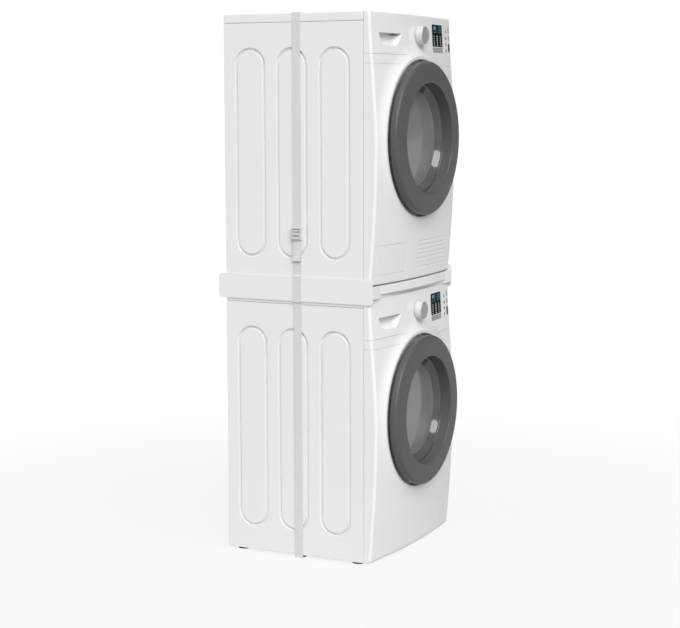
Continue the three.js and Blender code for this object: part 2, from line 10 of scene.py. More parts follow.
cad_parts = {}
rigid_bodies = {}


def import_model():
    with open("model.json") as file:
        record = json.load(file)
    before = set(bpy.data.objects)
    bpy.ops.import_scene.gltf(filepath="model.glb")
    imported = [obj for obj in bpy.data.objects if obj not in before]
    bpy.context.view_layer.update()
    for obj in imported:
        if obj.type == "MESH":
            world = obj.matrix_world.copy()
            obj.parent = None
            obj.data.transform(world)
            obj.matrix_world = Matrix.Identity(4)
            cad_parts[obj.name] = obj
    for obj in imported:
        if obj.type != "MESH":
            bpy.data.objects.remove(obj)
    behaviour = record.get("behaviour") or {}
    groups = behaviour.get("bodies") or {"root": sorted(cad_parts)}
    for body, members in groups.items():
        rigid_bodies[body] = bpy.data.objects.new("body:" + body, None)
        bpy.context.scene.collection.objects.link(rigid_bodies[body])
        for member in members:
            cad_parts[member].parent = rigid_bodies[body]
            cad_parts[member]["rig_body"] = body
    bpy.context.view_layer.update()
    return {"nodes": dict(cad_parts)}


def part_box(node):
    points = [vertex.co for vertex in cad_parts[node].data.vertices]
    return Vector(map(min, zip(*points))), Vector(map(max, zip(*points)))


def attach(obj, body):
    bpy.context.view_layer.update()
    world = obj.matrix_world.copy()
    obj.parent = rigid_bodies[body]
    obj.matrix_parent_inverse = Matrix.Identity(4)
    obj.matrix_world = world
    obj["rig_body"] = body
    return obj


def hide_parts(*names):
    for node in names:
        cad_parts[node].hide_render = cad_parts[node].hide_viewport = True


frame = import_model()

# ---------------------------------------------------------------- camera, room light and floor
# A long lens looks down a little at the left side and the front of the stack. A broad soft lamp is at the
# front left, and the room's own light falls off from left to right. The camera alone sees the room and the
# floor whiter than the light that they give.

scene = bpy.context.scene
scene.view_settings.view_transform = "Standard"
ROOM_WHITE = 1.02

camera_data = bpy.data.cameras.new("camera")
camera_data.sensor_width = 36
camera_data.lens = 88.75
camera_data.shift_x = -0.0467
camera_data.shift_y = 0.0095
camera_data.clip_end = 200
camera = bpy.data.objects.new("camera", camera_data)
camera.location = (-4.9137, -2.5244, 1.4605)
camera.rotation_euler = (math.radians(90 - 7.455), 0, math.radians(-63.704))
scene.collection.objects.link(camera)
scene.camera = camera

scene.world = bpy.data.worlds.new("studio")
scene.world.use_nodes = True
room = scene.world.node_tree
heading = room.nodes.new("ShaderNodeTexCoord")
sideways = room.nodes.new("ShaderNodeSeparateXYZ")
room.links.new(heading.outputs["Generated"], sideways.inputs[0])
light = room.nodes.new("ShaderNodeMapRange")
for socket, value in (("From Min", -0.9), ("From Max", 0.9), ("To Min", 0.62), ("To Max", 0.17)):
    light.inputs[socket].default_value = value
room.links.new(sideways.outputs["X"], light.inputs["Value"])
seen = room.nodes.new("ShaderNodeLightPath")
level = room.nodes.new("ShaderNodeMix")
level.inputs[3].default_value = ROOM_WHITE
room.links.new(seen.outputs["Is Camera Ray"], level.inputs[0])
room.links.new(light.outputs[0], level.inputs[2])
room.nodes["Background"].inputs["Color"].default_value = (1, 1, 1, 1)
room.links.new(level.outputs[0], room.nodes["Background"].inputs["Strength"])

key = bpy.data.objects.new("key", bpy.data.lights.new("key", "SUN"))
key.data.energy = 2.85
key.data.angle = math.radians(48)
key.rotation_euler = Vector((0.5, 0.54, -0.67)).to_track_quat("-Z", "Y").to_euler()
scene.collection.objects.link(key)


class Value:
    """A socket of a material's nodes. Arithmetic on it adds Math nodes."""

    def __init__(self, finish, socket):
        self.finish = finish
        self.socket = socket

    def math(self, operation, first, second=0.0):
        return self.finish.node("ShaderNodeMath", {"operation": operation}, {0: first, 1: second})

    def __add__(self, other):
        return self.math("ADD", self, other)

    def __radd__(self, other):
        return self.math("ADD", other, self)

    def __sub__(self, other):
        return self.math("SUBTRACT", self, other)

    def __rsub__(self, other):
        return self.math("SUBTRACT", other, self)

    def __mul__(self, other):
        return self.math("MULTIPLY", self, other)

    def __rmul__(self, other):
        return self.math("MULTIPLY", other, self)

    def wave(self):
        return self.math("SINE", self)

    def fraction(self):
        return self.math("FRACT", self)

    def over(self, limit):
        return self.math("GREATER_THAN", self, limit)


class Finish:
    """A material on one Principled shader, with the nodes that vary it."""

    def __init__(self, name, color, roughness, **constants):
        self.material = bpy.data.materials.new(name)
        self.material.use_nodes = True
        self.material.diffuse_color = (*color, 1)
        self.tree = self.material.node_tree
        self.shader = self.tree.nodes["Principled BSDF"]
        self.color = (*color, 1)
        self.shader.inputs["Base Color"].default_value = self.color
        self.shader.inputs["Roughness"].default_value = roughness
        for socket, value in constants.items():
            self.shader.inputs[socket.replace("_", " ")].default_value = value
        self.place = self.node("ShaderNodeTexCoord", {}, {}, "Object")

    def node(self, kind, settings, sockets, output=0):
        made = self.tree.nodes.new(kind)
        for name, value in settings.items():
            setattr(made, name, value)
        for name, value in sockets.items():
            self.feed(made.inputs[name], value)
        return Value(self, made.outputs[output])

    def feed(self, socket, value):
        if isinstance(value, Value):
            self.tree.links.new(value.socket, socket)
        else:
            socket.default_value = value

    def along(self, axis):
        return self.node("ShaderNodeSeparateXYZ", {}, {0: self.place}, axis)

    def noise(self, scale, detail=2.0, stretch=(1, 1, 1)):
        spread = self.node("ShaderNodeVectorMath", {"operation": "MULTIPLY"}, {0: self.place, 1: stretch})
        return self.node("ShaderNodeTexNoise", {}, {"Vector": spread, "Scale": scale, "Detail": detail}, 0)

    def between(self, low, high, mask):
        return low + mask * (high - low)

    def tint(self, mask, first, second):
        return self.node(
            "ShaderNodeMix", {"data_type": "RGBA"}, {0: mask, 6: (*first, 1), 7: (*second, 1)}, 2)

    def paint(self, color=None, roughness=None, metallic=None):
        for socket, value in (("Base Color", color), ("Roughness", roughness), ("Metallic", metallic)):
            if value is not None:
                self.feed(self.shader.inputs[socket], value)

    def relief(self, height, depth, strength=1.0):
        bump = self.node("ShaderNodeBump", {}, {"Height": height, "Distance": depth, "Strength": strength})
        self.feed(self.shader.inputs["Normal"], bump)


# The floor is one broad pale sheet that fades into the white of the room.
floor_finish = Finish("floor_sheet", (0.5, 0.5, 0.5), 0.6, Specular_IOR_Level=0.25)
cloud = floor_finish.noise(3.0, 3.0)
floor_finish.paint(color=floor_finish.tint(cloud, (0.49, 0.49, 0.49), (0.51, 0.51, 0.51)),
                   roughness=floor_finish.between(0.5, 0.62, floor_finish.noise(12.0)))
distance = floor_finish.node(
    "ShaderNodeVectorMath", {"operation": "LENGTH"}, {0: floor_finish.place}, "Value")
fade = floor_finish.node("ShaderNodeMapRange", {"interpolation_type": "SMOOTHSTEP"},
                         {"Value": distance, "From Min": 0.6, "From Max": 3.4, "To Min": 0.86, "To Max": 1.0})
glow = floor_finish.node("ShaderNodeEmission", {}, {"Color": (1, 1, 1, 1), "Strength": ROOM_WHITE})
seen = floor_finish.node("ShaderNodeLightPath", {}, {}, "Is Camera Ray")
blend = floor_finish.node("ShaderNodeMixShader", {}, {
    0: fade * seen, 1: Value(floor_finish, floor_finish.shader.outputs[0]), 2: glow})
floor_finish.feed(floor_finish.tree.nodes["Material Output"].inputs["Surface"], blend)
bpy.ops.mesh.primitive_circle_add(vertices=96, radius=60, fill_type="NGON", location=(0, 0, 0))
floor = bpy.context.object
floor.name = "floor"
floor.data.materials.append(floor_finish.material)

# ---------------------------------------------------------------- steel casings
# Each casing is folded from white enamelled sheet: two sides, a back and a base tray.
# Three long stadium grooves are pressed into each side to stiffen it, and the back has a service panel.

MACHINES = {"washer": 0.0, "dryer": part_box("dryer_foot_front_left")[0].z * 1000}
SIDE_X = 300
SEAM = -216
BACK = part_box("washer_cabinet")[1].y * 1000
SHEET_LOW, SHEET_HIGH = 11, 821.6
FRONT_FOLD, BACK_FOLD = 0.4, 2.5
GROOVE_CENTRES = (183.6, 34.7, -115.7)
GROOVE_HALF_WIDTH = 49.7
GROOVE_LOW, GROOVE_HIGH = 91.6, 741.0
GROOVE_PROFILE = ((-5.6, 0), (-5.1, 0.2), (-4.6, 0.9), (-4.1, 4.6), (-3.0, 6.6), (0, 7.2),
                  (3.0, 6.6), (4.1, 4.6), (4.6, 0.9), (5.1, 0.2), (5.6, 0))
PANEL_HALF_WIDTH, PANEL_LOW, PANEL_HIGH, PANEL_R = 200, 170, 600, 40
PANEL_PROFILE = ((8, 0), (6, -0.4), (4, -1.4), (2, -2.0), (0, -2.0), (-2, -1.2), (-4, -0.3), (-6, 0))
VENT_CENTRES = [(x, z) for x in (-150, -50, 50, 150) for z in (668, 684, 700, 716)]
VENT_HALF_LENGTH, VENT_HALF_HEIGHT, VENT_R = 32, 3.5, 3.4

enamel = Finish("white_enamel", (0.66, 0.66, 0.656), 0.38, Coat_Weight=0.1, Coat_Roughness=0.2)
peel = enamel.noise(420, 2.0)
enamel.paint(color=enamel.tint(enamel.noise(6, 3.0), (0.79, 0.79, 0.785), (0.815, 0.815, 0.812)),
             roughness=enamel.between(0.30, 0.40, enamel.noise(35, 3.0)))
enamel.relief(peel, 0.00006, 0.5)


def piece(name, points, faces, body, slot, finish, lift=0.0, replaced=(), crease=50, second=None):
    """A mesh piece from points in millimetres above its machine's own floor.
    `second` is another finish, and the test that picks its faces by their middle."""
    mesh = bpy.data.meshes.new(name)
    mesh.from_pydata([(x / 1000, y / 1000, (z + lift) / 1000) for x, y, z in points], [], faces)
    bm = bmesh.new()
    bm.from_mesh(mesh)
    bmesh.ops.remove_doubles(bm, verts=bm.verts, dist=2e-6)
    bmesh.ops.recalc_face_normals(bm, faces=bm.faces)
    for face in bm.faces:
        face.smooth = True
    bm.to_mesh(mesh)
    bm.free()
    mesh.set_sharp_from_angle(angle=math.radians(crease))
    mesh.materials.append(finish.material)
    if second:
        mesh.materials.append(second[0].material)
        for polygon in mesh.polygons:
            x, y, z = (value * 1000 for value in polygon.center)
            polygon.material_index = int(second[1](x, y, z - lift))
    obj = bpy.data.objects.new(name, mesh)
    scene.collection.objects.link(obj)
    obj.modifiers.new("level_shading", "WEIGHTED_NORMAL").keep_sharp = True
    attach(obj, body)
    if replaced:
        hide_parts(*replaced)
    return obj


def grid_faces(rows, columns, start=0, closed=False):
    """Quads between the rows of a grid of points, optionally joined round."""
    span = columns if closed else columns - 1
    return [
        (start + r * columns + c, start + r * columns + (c + 1) % columns,
         start + (r + 1) * columns + (c + 1) % columns, start + (r + 1) * columns + c)
        for r in range(rows - 1) for c in range(span)
    ]


def tube_faces(rows, count, start=0, near=False):
    """The faces of a run of rings of `count` points, closed at the far end, and at the near one if asked."""
    faces = grid_faces(rows, count, start, closed=True)
    if near:
        faces.append(tuple(range(start, start + count)))
    faces.append(tuple(range(start + (rows - 1) * count, start + rows * count)))
    return faces


def dress(node, finish, edge=0.8, steps=2, omit=None):
    """A softened copy of a CAD node: flat facets joined and sharp edges rounded by `edge` mm."""
    source = frame["nodes"][node]
    bm = bmesh.new()
    bm.from_mesh(source.data)
    bmesh.ops.remove_doubles(bm, verts=bm.verts, dist=1e-5)
    bmesh.ops.dissolve_limit(bm, angle_limit=math.radians(0.5), verts=bm.verts, edges=bm.edges)
    if omit:
        bmesh.ops.delete(bm, geom=[f for f in bm.faces if omit(f)], context="FACES")
    for face in bm.faces:
        face.smooth = True
    mesh = bpy.data.meshes.new(node + "_worked")
    bm.to_mesh(mesh)
    bm.free()
    mesh.materials.append(finish.material)
    obj = bpy.data.objects.new(node + "_worked", mesh)
    scene.collection.objects.link(obj)
    bevel = obj.modifiers.new("edges", "BEVEL")
    bevel.width = edge / 1000
    bevel.segments = steps
    bevel.limit_method = "ANGLE"
    bevel.angle_limit = math.radians(32)
    bevel.harden_normals = False
    obj.modifiers.new("normals", "WEIGHTED_NORMAL").keep_sharp = True
    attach(obj, source["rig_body"])
    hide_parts(node)
    return obj


def stadium(centre, offset, steps=18):
    """The points of a stadium in Y and Z, `offset` outside the groove's middle line."""
    r = GROOVE_HALF_WIDTH + offset
    low, high = GROOVE_LOW + GROOVE_HALF_WIDTH, GROOVE_HIGH - GROOVE_HALF_WIDTH
    top = [(centre + r * math.cos(math.pi * i / steps), high + r * math.sin(math.pi * i / steps))
           for i in range(steps + 1)]
    bottom = [(centre - r * math.cos(math.pi * i / steps), low - r * math.sin(math.pi * i / steps))
              for i in range(steps + 1)]
    return top + bottom


def plate(outline, holes, place):
    """A flat plate with holes: its points and triangles. `place` turns (a, b) into a 3-D point."""
    loops = [[Vector((a, b, 0)) for a, b in loop] for loop in (outline, *holes)]
    points = [place(p.x, p.y) for loop in loops for p in loop]
    return points, [tuple(t) for t in tessellate_polygon(loops)]


def side_sheet(sign):
    """One pressed side with its folds at the front and the back."""
    front, back = SEAM + 0.45, BACK - BACK_FOLD
    outline = [(front, SHEET_LOW), (back, SHEET_LOW), (back, SHEET_HIGH), (front, SHEET_HIGH)]
    rings = [[stadium(c, offset) for offset, _ in reversed(GROOVE_PROFILE)] for c in GROOVE_CENTRES]
    points, faces = plate(outline, [r[0] for r in rings], lambda y, z: (sign * SIDE_X, y, z))
    for ring in rings:
        start = len(points)
        for loop, (_, depth) in zip(ring, reversed(GROOVE_PROFILE)):
            points += [(sign * (SIDE_X - depth), y, z) for y, z in loop]
        faces += tube_faces(len(ring), len(ring[0]), start)
    front_fold = [(front - FRONT_FOLD * math.sin(a), SIDE_X - FRONT_FOLD * (1 - math.cos(a)))
                  for a in np.radians([0, 45, 90])]
    back_fold = [(back + BACK_FOLD * math.sin(a), SIDE_X - BACK_FOLD * (1 - math.cos(a)))
                 for a in np.radians([0, 22, 45, 67, 90])]
    for fold in (front_fold + [(front - 0.42, SIDE_X - 14)], back_fold):
        start = len(points)
        for z in (SHEET_LOW, SHEET_HIGH):
            points += [(sign * x, y, z) for y, x in fold]
        faces += grid_faces(2, len(fold), start)
    for z, step in ((SHEET_LOW, -1), (SHEET_HIGH, 0.8)):
        start = len(points)
        for inward, rise in ((0, 0), (0.4, step * 0.7), (1.4, step)):
            points += [(sign * (SIDE_X - inward), y, z + rise) for y in (front, back)]
        faces += grid_faces(3, 2, start)
    return points, faces


def rounded_outline(x0, x1, z0, z1, r, steps=6):
    """The points of a rectangle with round corners, from the upper right one on."""
    corners = ((x1 - r, z1 - r, 0), (x0 + r, z1 - r, 90), (x0 + r, z0 + r, 180), (x1 - r, z0 + r, 270))
    return [(cx + r * math.cos(math.radians(start + 90 * i / steps)),
             cz + r * math.sin(math.radians(start + 90 * i / steps)))
            for cx, cz, start in corners for i in range(steps + 1)]


def back_sheet():
    """The back: a service panel raised on a pressed ring, and rows of vent slots above it."""
    panel = [rounded_outline(-PANEL_HALF_WIDTH - o, PANEL_HALF_WIDTH + o, PANEL_LOW - o, PANEL_HIGH + o,
                             PANEL_R + o) for o, _ in PANEL_PROFILE]
    vents = [[rounded_outline(x - VENT_HALF_LENGTH - o, x + VENT_HALF_LENGTH + o, z - VENT_HALF_HEIGHT - o,
                              z + VENT_HALF_HEIGHT + o, VENT_R + o, 3) for o in (0.8, 0.2, 0)]
             for x, z in VENT_CENTRES]
    left, right = -SIDE_X + BACK_FOLD, SIDE_X - BACK_FOLD
    outline = [(left, SHEET_LOW), (right, SHEET_LOW), (right, SHEET_HIGH), (left, SHEET_HIGH)]
    points, faces = plate(outline, [panel[0]] + [vent[0] for vent in vents], lambda x, z: (x, BACK, z))
    pressings = [(panel, [rise for _, rise in PANEL_PROFILE])] + [(vent, (0, -0.5, -4)) for vent in vents]
    for rings, rises in pressings:
        start = len(points)
        for loop, rise in zip(rings, rises):
            points += [(x, BACK + rise, z) for x, z in loop]
        faces += tube_faces(len(rings), len(rings[0]), start)
    return points, faces


def outer_wall(face):
    """True for the faces of a CAD cabinet which the pressed sides and the back stand for."""
    side = all(abs(v.co.x) > 0.2999 for v in face.verts)
    rear = all(v.co.y > BACK / 1000 - 0.0001 for v in face.verts)
    middle = face.calc_center_median()
    pressed = abs(middle.x) > 0.2925 and (SEAM + 6) / 1000 < middle.y < (BACK - 20) / 1000 and (
        0.05 < middle.z % (MACHINES["dryer"] / 1000) < 0.79)
    return side or rear or pressed


def join_meshes(*parts):
    """Several pairs of points and faces as one pair."""
    points, faces = [], []
    for more_points, more_faces in parts:
        start = len(points)
        points += more_points
        faces += [tuple(i + start for i in f) for f in more_faces]
    return points, faces


for machine, lift in MACHINES.items():
    dress(f"{machine}_cabinet", enamel, 0.4, 1, outer_wall)
    for side_name, sign in (("left", -1), ("right", 1)):
        piece(f"{machine}_side_{side_name}", *side_sheet(sign), "root", "white_steel", enamel, lift)
    piece(f"{machine}_back", *back_sheet(), "root", "white_steel", enamel, lift)
    dress(f"{machine}_top_panel", enamel, 2.6, 4)

# ---------------------------------------------------------------- moulded fronts
# One crowned white moulding covers the whole lower front, from the feet to the control fascia.
# A raised, rounded lip is moulded round the door, with a soft fillet that runs out into the front.

FRONT_LOW = 10
TOP = 850
CROWN_HEIGHT = 840
UNDER_R, TOP_R = 9, 5
STRIP_HIGH = 150
HALF_GAP = 0.3
FASCIA_LOW = 694
DOOR_HEIGHT = 461
LIP_CREST_R, LIP_CREST_Y = 262, -275
LIP_SPREAD = 46
CUT_R = 273.9
HALF_CHORD = math.sqrt(CUT_R ** 2 - (FASCIA_LOW - DOOR_HEIGHT) ** 2)
CORNER_R = 9
TURN_X = SIDE_X - CORNER_R
FLANK = CORNER_R * math.pi / 2
FILTER_FLAP = (176, 272, 28, 117)
CONDENSER_FLAP = (-277, -88, 40, 134)
LOUVRE_X = (-12, 240)
LOUVRE_HEIGHTS = [45 + 14.2 * i for i in range(7)]
LOUVRE_HALF, LOUVRE_DEPTH = 2.7, 1.5
HOLE_LIP = 1.6

moulding = Finish("white_moulding", (0.80, 0.80, 0.80), 0.3, Coat_Weight=0.35, Coat_Roughness=0.08)
moulding.paint(color=moulding.tint(moulding.noise(5, 3.0), (0.79, 0.79, 0.79), (0.815, 0.815, 0.815)),
               roughness=moulding.between(0.27, 0.36, moulding.noise(28, 4.0)))
moulding.relief(moulding.noise(900, 2.0), 0.00003, 0.5)


def crown(x, z):
    """Y of the plain crowned front, rounded in at its lower and upper edges."""
    t = min(max((z - FRONT_LOW) / CROWN_HEIGHT, 0), 1)
    reach = 22 + 22.5 * math.sin(math.pi * t) ** (1.6 if t > 0.5 else 0.95)
    under = max(0.0, UNDER_R - (z - FRONT_LOW))
    over = max(0.0, TOP_R - (TOP - z))
    rounding = (UNDER_R - math.sqrt(max(UNDER_R ** 2 - under ** 2, 0))
                + TOP_R - math.sqrt(max(TOP_R ** 2 - over ** 2, 0)))
    return SEAM - reach - 19 * (1 - (x / SIDE_X) ** 2) + rounding


def front_y(x, z):
    """Y of the front with the door lip's fillet on it."""
    base = crown(x, z)
    r = math.hypot(x, z - DOOR_HEIGHT)
    run = min(max((r - LIP_CREST_R) / LIP_SPREAD, 0), 1)
    return base + (min(LIP_CREST_Y, base - 3) - base) * (1 - run) ** 2.4


def front_point(u, z):
    """A point of the moulded front: across the face, round the corner, then back along the flank."""
    side = math.copysign(1, u)
    if abs(u) <= TURN_X:
        return (u, front_y(u, z), z)
    edge = front_y(side * TURN_X, z)
    along = abs(u) - TURN_X
    if along <= FLANK:
        a = along / CORNER_R
        return (side * (TURN_X + CORNER_R * math.sin(a)), edge + CORNER_R * (1 - math.cos(a)), z)
    share = (along - FLANK) / 10
    y = edge + CORNER_R + (SEAM - 0.35 - edge - CORNER_R) * min(share, 1)
    x = SIDE_X
    if share > 1:
        tucks = ((SEAM - 0.12, SIDE_X - 0.1), (SEAM, SIDE_X - 0.4), (SEAM + 0.02, SIDE_X - 10))
        y, x = tucks[min(round(share) - 2, 2)]
    return (side * x, y, z)


CORNER_STEPS = [TURN_X + FLANK * i / 5 for i in range(6)]
CORNER_STEPS += [TURN_X + FLANK + 10 * i for i in (0.06, 0.5, 0.96, 1, 2, 3, 4)]


def spaced(low, high, step, *extra):
    """Places from low to high about `step` apart that include every place in `extra`."""
    stops = sorted({low, high, *[e for e in extra if low < e < high]})
    places = [low]
    for a, b in zip(stops, stops[1:]):
        count = max(1, round((b - a) / step))
        places += [a + (b - a) * i / count for i in range(1, count + 1)]
    return places


def louvre_depth(x, z):
    """How far the front is sunk by the louvre's grooves at a point."""
    depth = 0.0
    for height in LOUVRE_HEIGHTS:
        beyond = max(LOUVRE_X[0] + LOUVRE_HALF - x, 0, x - LOUVRE_X[1] + LOUVRE_HALF)
        away = math.hypot(beyond, z - height) / LOUVRE_HALF
        if away < 1:
            depth = LOUVRE_DEPTH * min(1, (1 - away) * 2.2)
    return depth


def walled_hole(hole, depth=7):
    """The rolled edge of a hole in the front: it starts at the skin and turns inwards."""
    x0, x1, z0, z1 = hole
    loops = []
    for grow, back in ((HOLE_LIP, 0), (HOLE_LIP * 0.4, 0.15), (0, 0.8), (0, depth)):
        loop = []
        for a, b in rectangle_points(x0 - grow, x1 + grow, z0 - grow, z1 + grow):
            loop.append((a, front_y(a, b) + back, b))
        loops.append(loop)
    count = len(loops[0])
    return [p for loop in loops for p in loop], grid_faces(4, count, 0, closed=True)


def rectangle_points(x0, x1, z0, z1, count=16):
    """The points round a rectangle, `count` to each side."""
    bottom = [(x0 + (x1 - x0) * i / count, z0) for i in range(count)]
    right = [(x1, z0 + (z1 - z0) * i / count) for i in range(count)]
    top = [(x1 - (x1 - x0) * i / count, z1) for i in range(count)]
    left = [(x0, z1 - (z1 - z0) * i / count) for i in range(count)]
    return bottom + right + top + left


def lower_front(flap, louvred):
    """The plain strip below the door, with the flap's hole and the louvre grooves."""
    x0, x1, z0, z1 = flap[0] - HOLE_LIP, flap[1] + HOLE_LIP, flap[2] - HOLE_LIP, flap[3] + HOLE_LIP
    x_stops, z_stops = [x0, x1], [z0, z1, 12, 15, 19]
    if louvred:
        x_stops += [LOUVRE_X[0] + d for d in (-1, 0, 1, 2, 3)] + [LOUVRE_X[1] + d for d in (1, 0, -1, -2, -3)]
        z_stops += [h + d for h in LOUVRE_HEIGHTS for d in (-3.4, -2.7, -1.9, -1.2, 0, 1.2, 1.9, 2.7, 3.4)]
    columns = spaced(-TURN_X, TURN_X, 10, 0, *x_stops)
    rows = spaced(FRONT_LOW, STRIP_HIGH, 10, *z_stops)
    points = []
    for z in rows:
        for x in columns:
            a, y, b = front_point(x, z)
            points.append((a, y + (louvre_depth(x, z) if louvred else 0), b))
    faces = [
        f for f in grid_faces(len(rows), len(columns))
        if not all(x0 - 1e-6 <= points[i][0] <= x1 + 1e-6
                   and z0 - 1e-6 <= points[i][2] <= z1 + 1e-6 for i in f)
    ]
    return columns, rows, (points, faces)


def door_surround(columns, rows):
    """The front round the door, in spokes that run from the door's hollow out to the edges."""
    side_heights = spaced(STRIP_HIGH, FASCIA_LOW - HALF_GAP, 11)
    right = [(TURN_X, z) for z in side_heights]
    left = [(-TURN_X, z) for z in reversed(side_heights)]
    top_right = [(x, FASCIA_LOW - HALF_GAP) for x in reversed(spaced(HALF_CHORD, TURN_X, 8))][1:]
    top_left = [(-x, z) for x, z in reversed(top_right)]
    bottom = [(x, STRIP_HIGH) for x in columns]
    arc_start = math.atan2(FASCIA_LOW - DOOR_HEIGHT, HALF_CHORD)
    over = [arc_start + (math.pi - 2 * arc_start) * i / 24 for i in range(1, 24)]
    boundary = [*right, *top_right, *over, *top_left, *left, *bottom[1:-1]]
    hollow = [(181, -236), (181, -252.5), (182.5, -254), (200, -254), (225, -254), (246, -254), (248, -256),
              (248, -262), (248.2, -268), (249.2, -271), (251, -273.2), (253.5, -274.6), (256.5, -275.5),
              (259.5, -275.7)]
    outer = [262, 264, 266.3, 268.7, 271.2, CUT_R]
    shares = [0.1, 0.22, 0.36, 0.52, 0.7, 0.86, 1]
    spokes = []
    for place in boundary:
        full = isinstance(place, tuple)
        angle = math.atan2(place[1] - DOOR_HEIGHT, place[0]) if full else place
        c, s = math.cos(angle), math.sin(angle)
        spoke = []
        for r, y in hollow:
            proud = front_y(r * c, DOOR_HEIGHT + r * s)
            spoke.append((r * c, min(y, proud) if r > 250 else y, DOOR_HEIGHT + r * s))
        for r in outer:
            spoke.append((r * c, front_y(r * c, DOOR_HEIGHT + r * s), DOOR_HEIGHT + r * s))
        if not full:
            r = CUT_R + 4
            spoke.append((r * c, front_y(r * c, DOOR_HEIGHT + r * s) + 0.3, DOOR_HEIGHT + r * s))
        if full:
            reach = math.hypot(place[0], place[1] - DOOR_HEIGHT)
            for share in shares:
                r = CUT_R + (reach - CUT_R) * share
                spoke.append(front_point(r * c, DOOR_HEIGHT + r * s))
        spokes.append(spoke)
    points, faces, starts = [], [], []
    for spoke in spokes:
        starts.append(len(points))
        points += spoke
    for k, spoke in enumerate(spokes):
        after = (k + 1) % len(spokes)
        for j in range(min(len(spoke), len(spokes[after])) - 1):
            faces.append((starts[k] + j, starts[after] + j, starts[after] + j + 1, starts[k] + j + 1))
    return side_heights, (points, faces)


def flank(side, heights):
    """The turned corner of the mouldings at one side, back to the seam."""
    points = [front_point(side * u, z) for z in heights for u in CORNER_STEPS]
    return points, grid_faces(len(heights), len(CORNER_STEPS))


def bottom_return(columns):
    """The front's lower edge, turned back under the machine."""
    edge = [front_point(x, FRONT_LOW) for x in columns]
    return edge + [(x, min(y + 14, SEAM - 0.5), z) for x, y, z in edge], grid_faces(2, len(columns))


def flap_skin(flap, margin=0.5):
    """A flap's face with rolled edges, on the same crowned surface as the front."""
    x0, x1, z0, z1 = flap[0] + margin, flap[1] - margin, flap[2] + margin, flap[3] - margin
    columns = [x0] + spaced(x0 + 0.6, x1 - 0.6, 9) + [x1]
    rows = [z0] + spaced(z0 + 0.6, z1 - 0.6, 9) + [z1]
    points = []
    for z in rows:
        for x in columns:
            rim = x in (x0, x1) or z in (z0, z1)
            points.append((x, front_y(x, z) + (0.5 if rim else 0), z))
    faces = grid_faces(len(rows), len(columns))
    start = len(points)
    edge = rectangle_points(x0, x1, z0, z1)
    for back in (0.5, 3):
        points += [(a, front_y(a, b) + back, b) for a, b in edge]
    return points, faces + tube_faces(2, len(edge), start)


FLAPS = {"washer": (FILTER_FLAP, "washer_filter_flap"), "dryer": (CONDENSER_FLAP, "dryer_condenser_flap")}
for machine, lift in MACHINES.items():
    flap = FLAPS[machine][0]
    columns, rows, strip = lower_front(flap, machine == "dryer")
    side_heights, surround = door_surround(columns, rows)
    heights = rows + side_heights[1:]
    whole = join_meshes(strip, surround, flank(-1, heights), flank(1, heights), bottom_return(columns),
                        walled_hole(flap))
    piece(f"{machine}_front", *whole, "root", "white_plastic", moulding, lift, [f"{machine}_front_panel"])
for machine, (flap, flap_node) in FLAPS.items():
    piece(f"{machine}_flap_skin", *flap_skin(flap), f"{machine}_flap", "white_plastic", moulding,
          MACHINES[machine], [flap_node])

# ---------------------------------------------------------------- control fascias
# The fascia is a second white moulding above the front. It follows the same crown and is cut round the lip.
# Its black glass display, key caps and grey trim strip are set into it from behind.

DRAWER_EDGE_X = -76
DRAWER_LOW = 723.5
WALL_X = DRAWER_EDGE_X + 0.5
TOP_ROUNDING = [TOP - TOP_R + TOP_R * math.sin(a) for a in np.radians([0, 18, 36, 54, 72, 90])]


def back_to_seam(line):
    """A strip from a line of points on the front straight back to the seam."""
    return line + [(x, SEAM, z) for x, _, z in line], grid_faces(2, len(line))


def fascia_edge(x):
    """The height of the fascia's lower edge, which is cut round the door's lip."""
    if abs(x) < HALF_CHORD:
        return max(FASCIA_LOW + HALF_GAP, DOOR_HEIGHT + math.sqrt(CUT_R ** 2 - x ** 2))
    return FASCIA_LOW + HALF_GAP


def fascia_sheet():
    """The fascia right of the drawer, the strip under it, both corners, and the drawer's side wall."""
    columns = spaced(WALL_X, TURN_X, 8, HALF_CHORD)
    shares = [i / 18 for i in range(19)]
    face = [front_point(x, fascia_edge(x) + (TOP - TOP_R - fascia_edge(x)) * share)
            for share in shares for x in columns]
    face += [front_point(x, z) for z in TOP_ROUNDING[1:] for x in columns]
    face += [(x, SEAM, TOP) for x in columns]
    under = spaced(-TURN_X, -HALF_CHORD + 66, 8, -HALF_CHORD)
    levels = [i / 4 for i in range(5)]
    strip = []
    for share in levels:
        for x in under:
            edge = fascia_edge(x)
            strip.append(front_point(x, edge + (max(DRAWER_LOW - HALF_GAP, edge) - edge) * share))
    wall_heights = spaced(DRAWER_LOW, TOP - TOP_R, 10) + TOP_ROUNDING[1:]
    return join_meshes(
        (face, grid_faces(len(shares) + len(TOP_ROUNDING), len(columns))),
        flank(1, spaced(FASCIA_LOW + HALF_GAP, TOP - TOP_R, 9) + TOP_ROUNDING[1:]),
        back_to_seam([front_point(u, TOP) for u in CORNER_STEPS[:-3]]),
        (strip, grid_faces(len(levels), len(under))),
        flank(-1, spaced(FASCIA_LOW + HALF_GAP, DRAWER_LOW - HALF_GAP, 8)),
        back_to_seam([front_point(x, DRAWER_LOW - HALF_GAP) for x in under]),
        back_to_seam([front_point(WALL_X, z) for z in wall_heights]))


for machine, lift in MACHINES.items():
    piece(f"{machine}_fascia", *fascia_sheet(), "root", "white_plastic", moulding, lift,
          [f"{machine}_control_panel"])

# ---------------------------------------------------------------- drawer fronts and their trays
# The washer's detergent drawer and the dryer's water tank share one white front that wraps the left corner.
# A finger scoop is moulded into it, with a narrow grip slot under its upper edge. It runs out below.

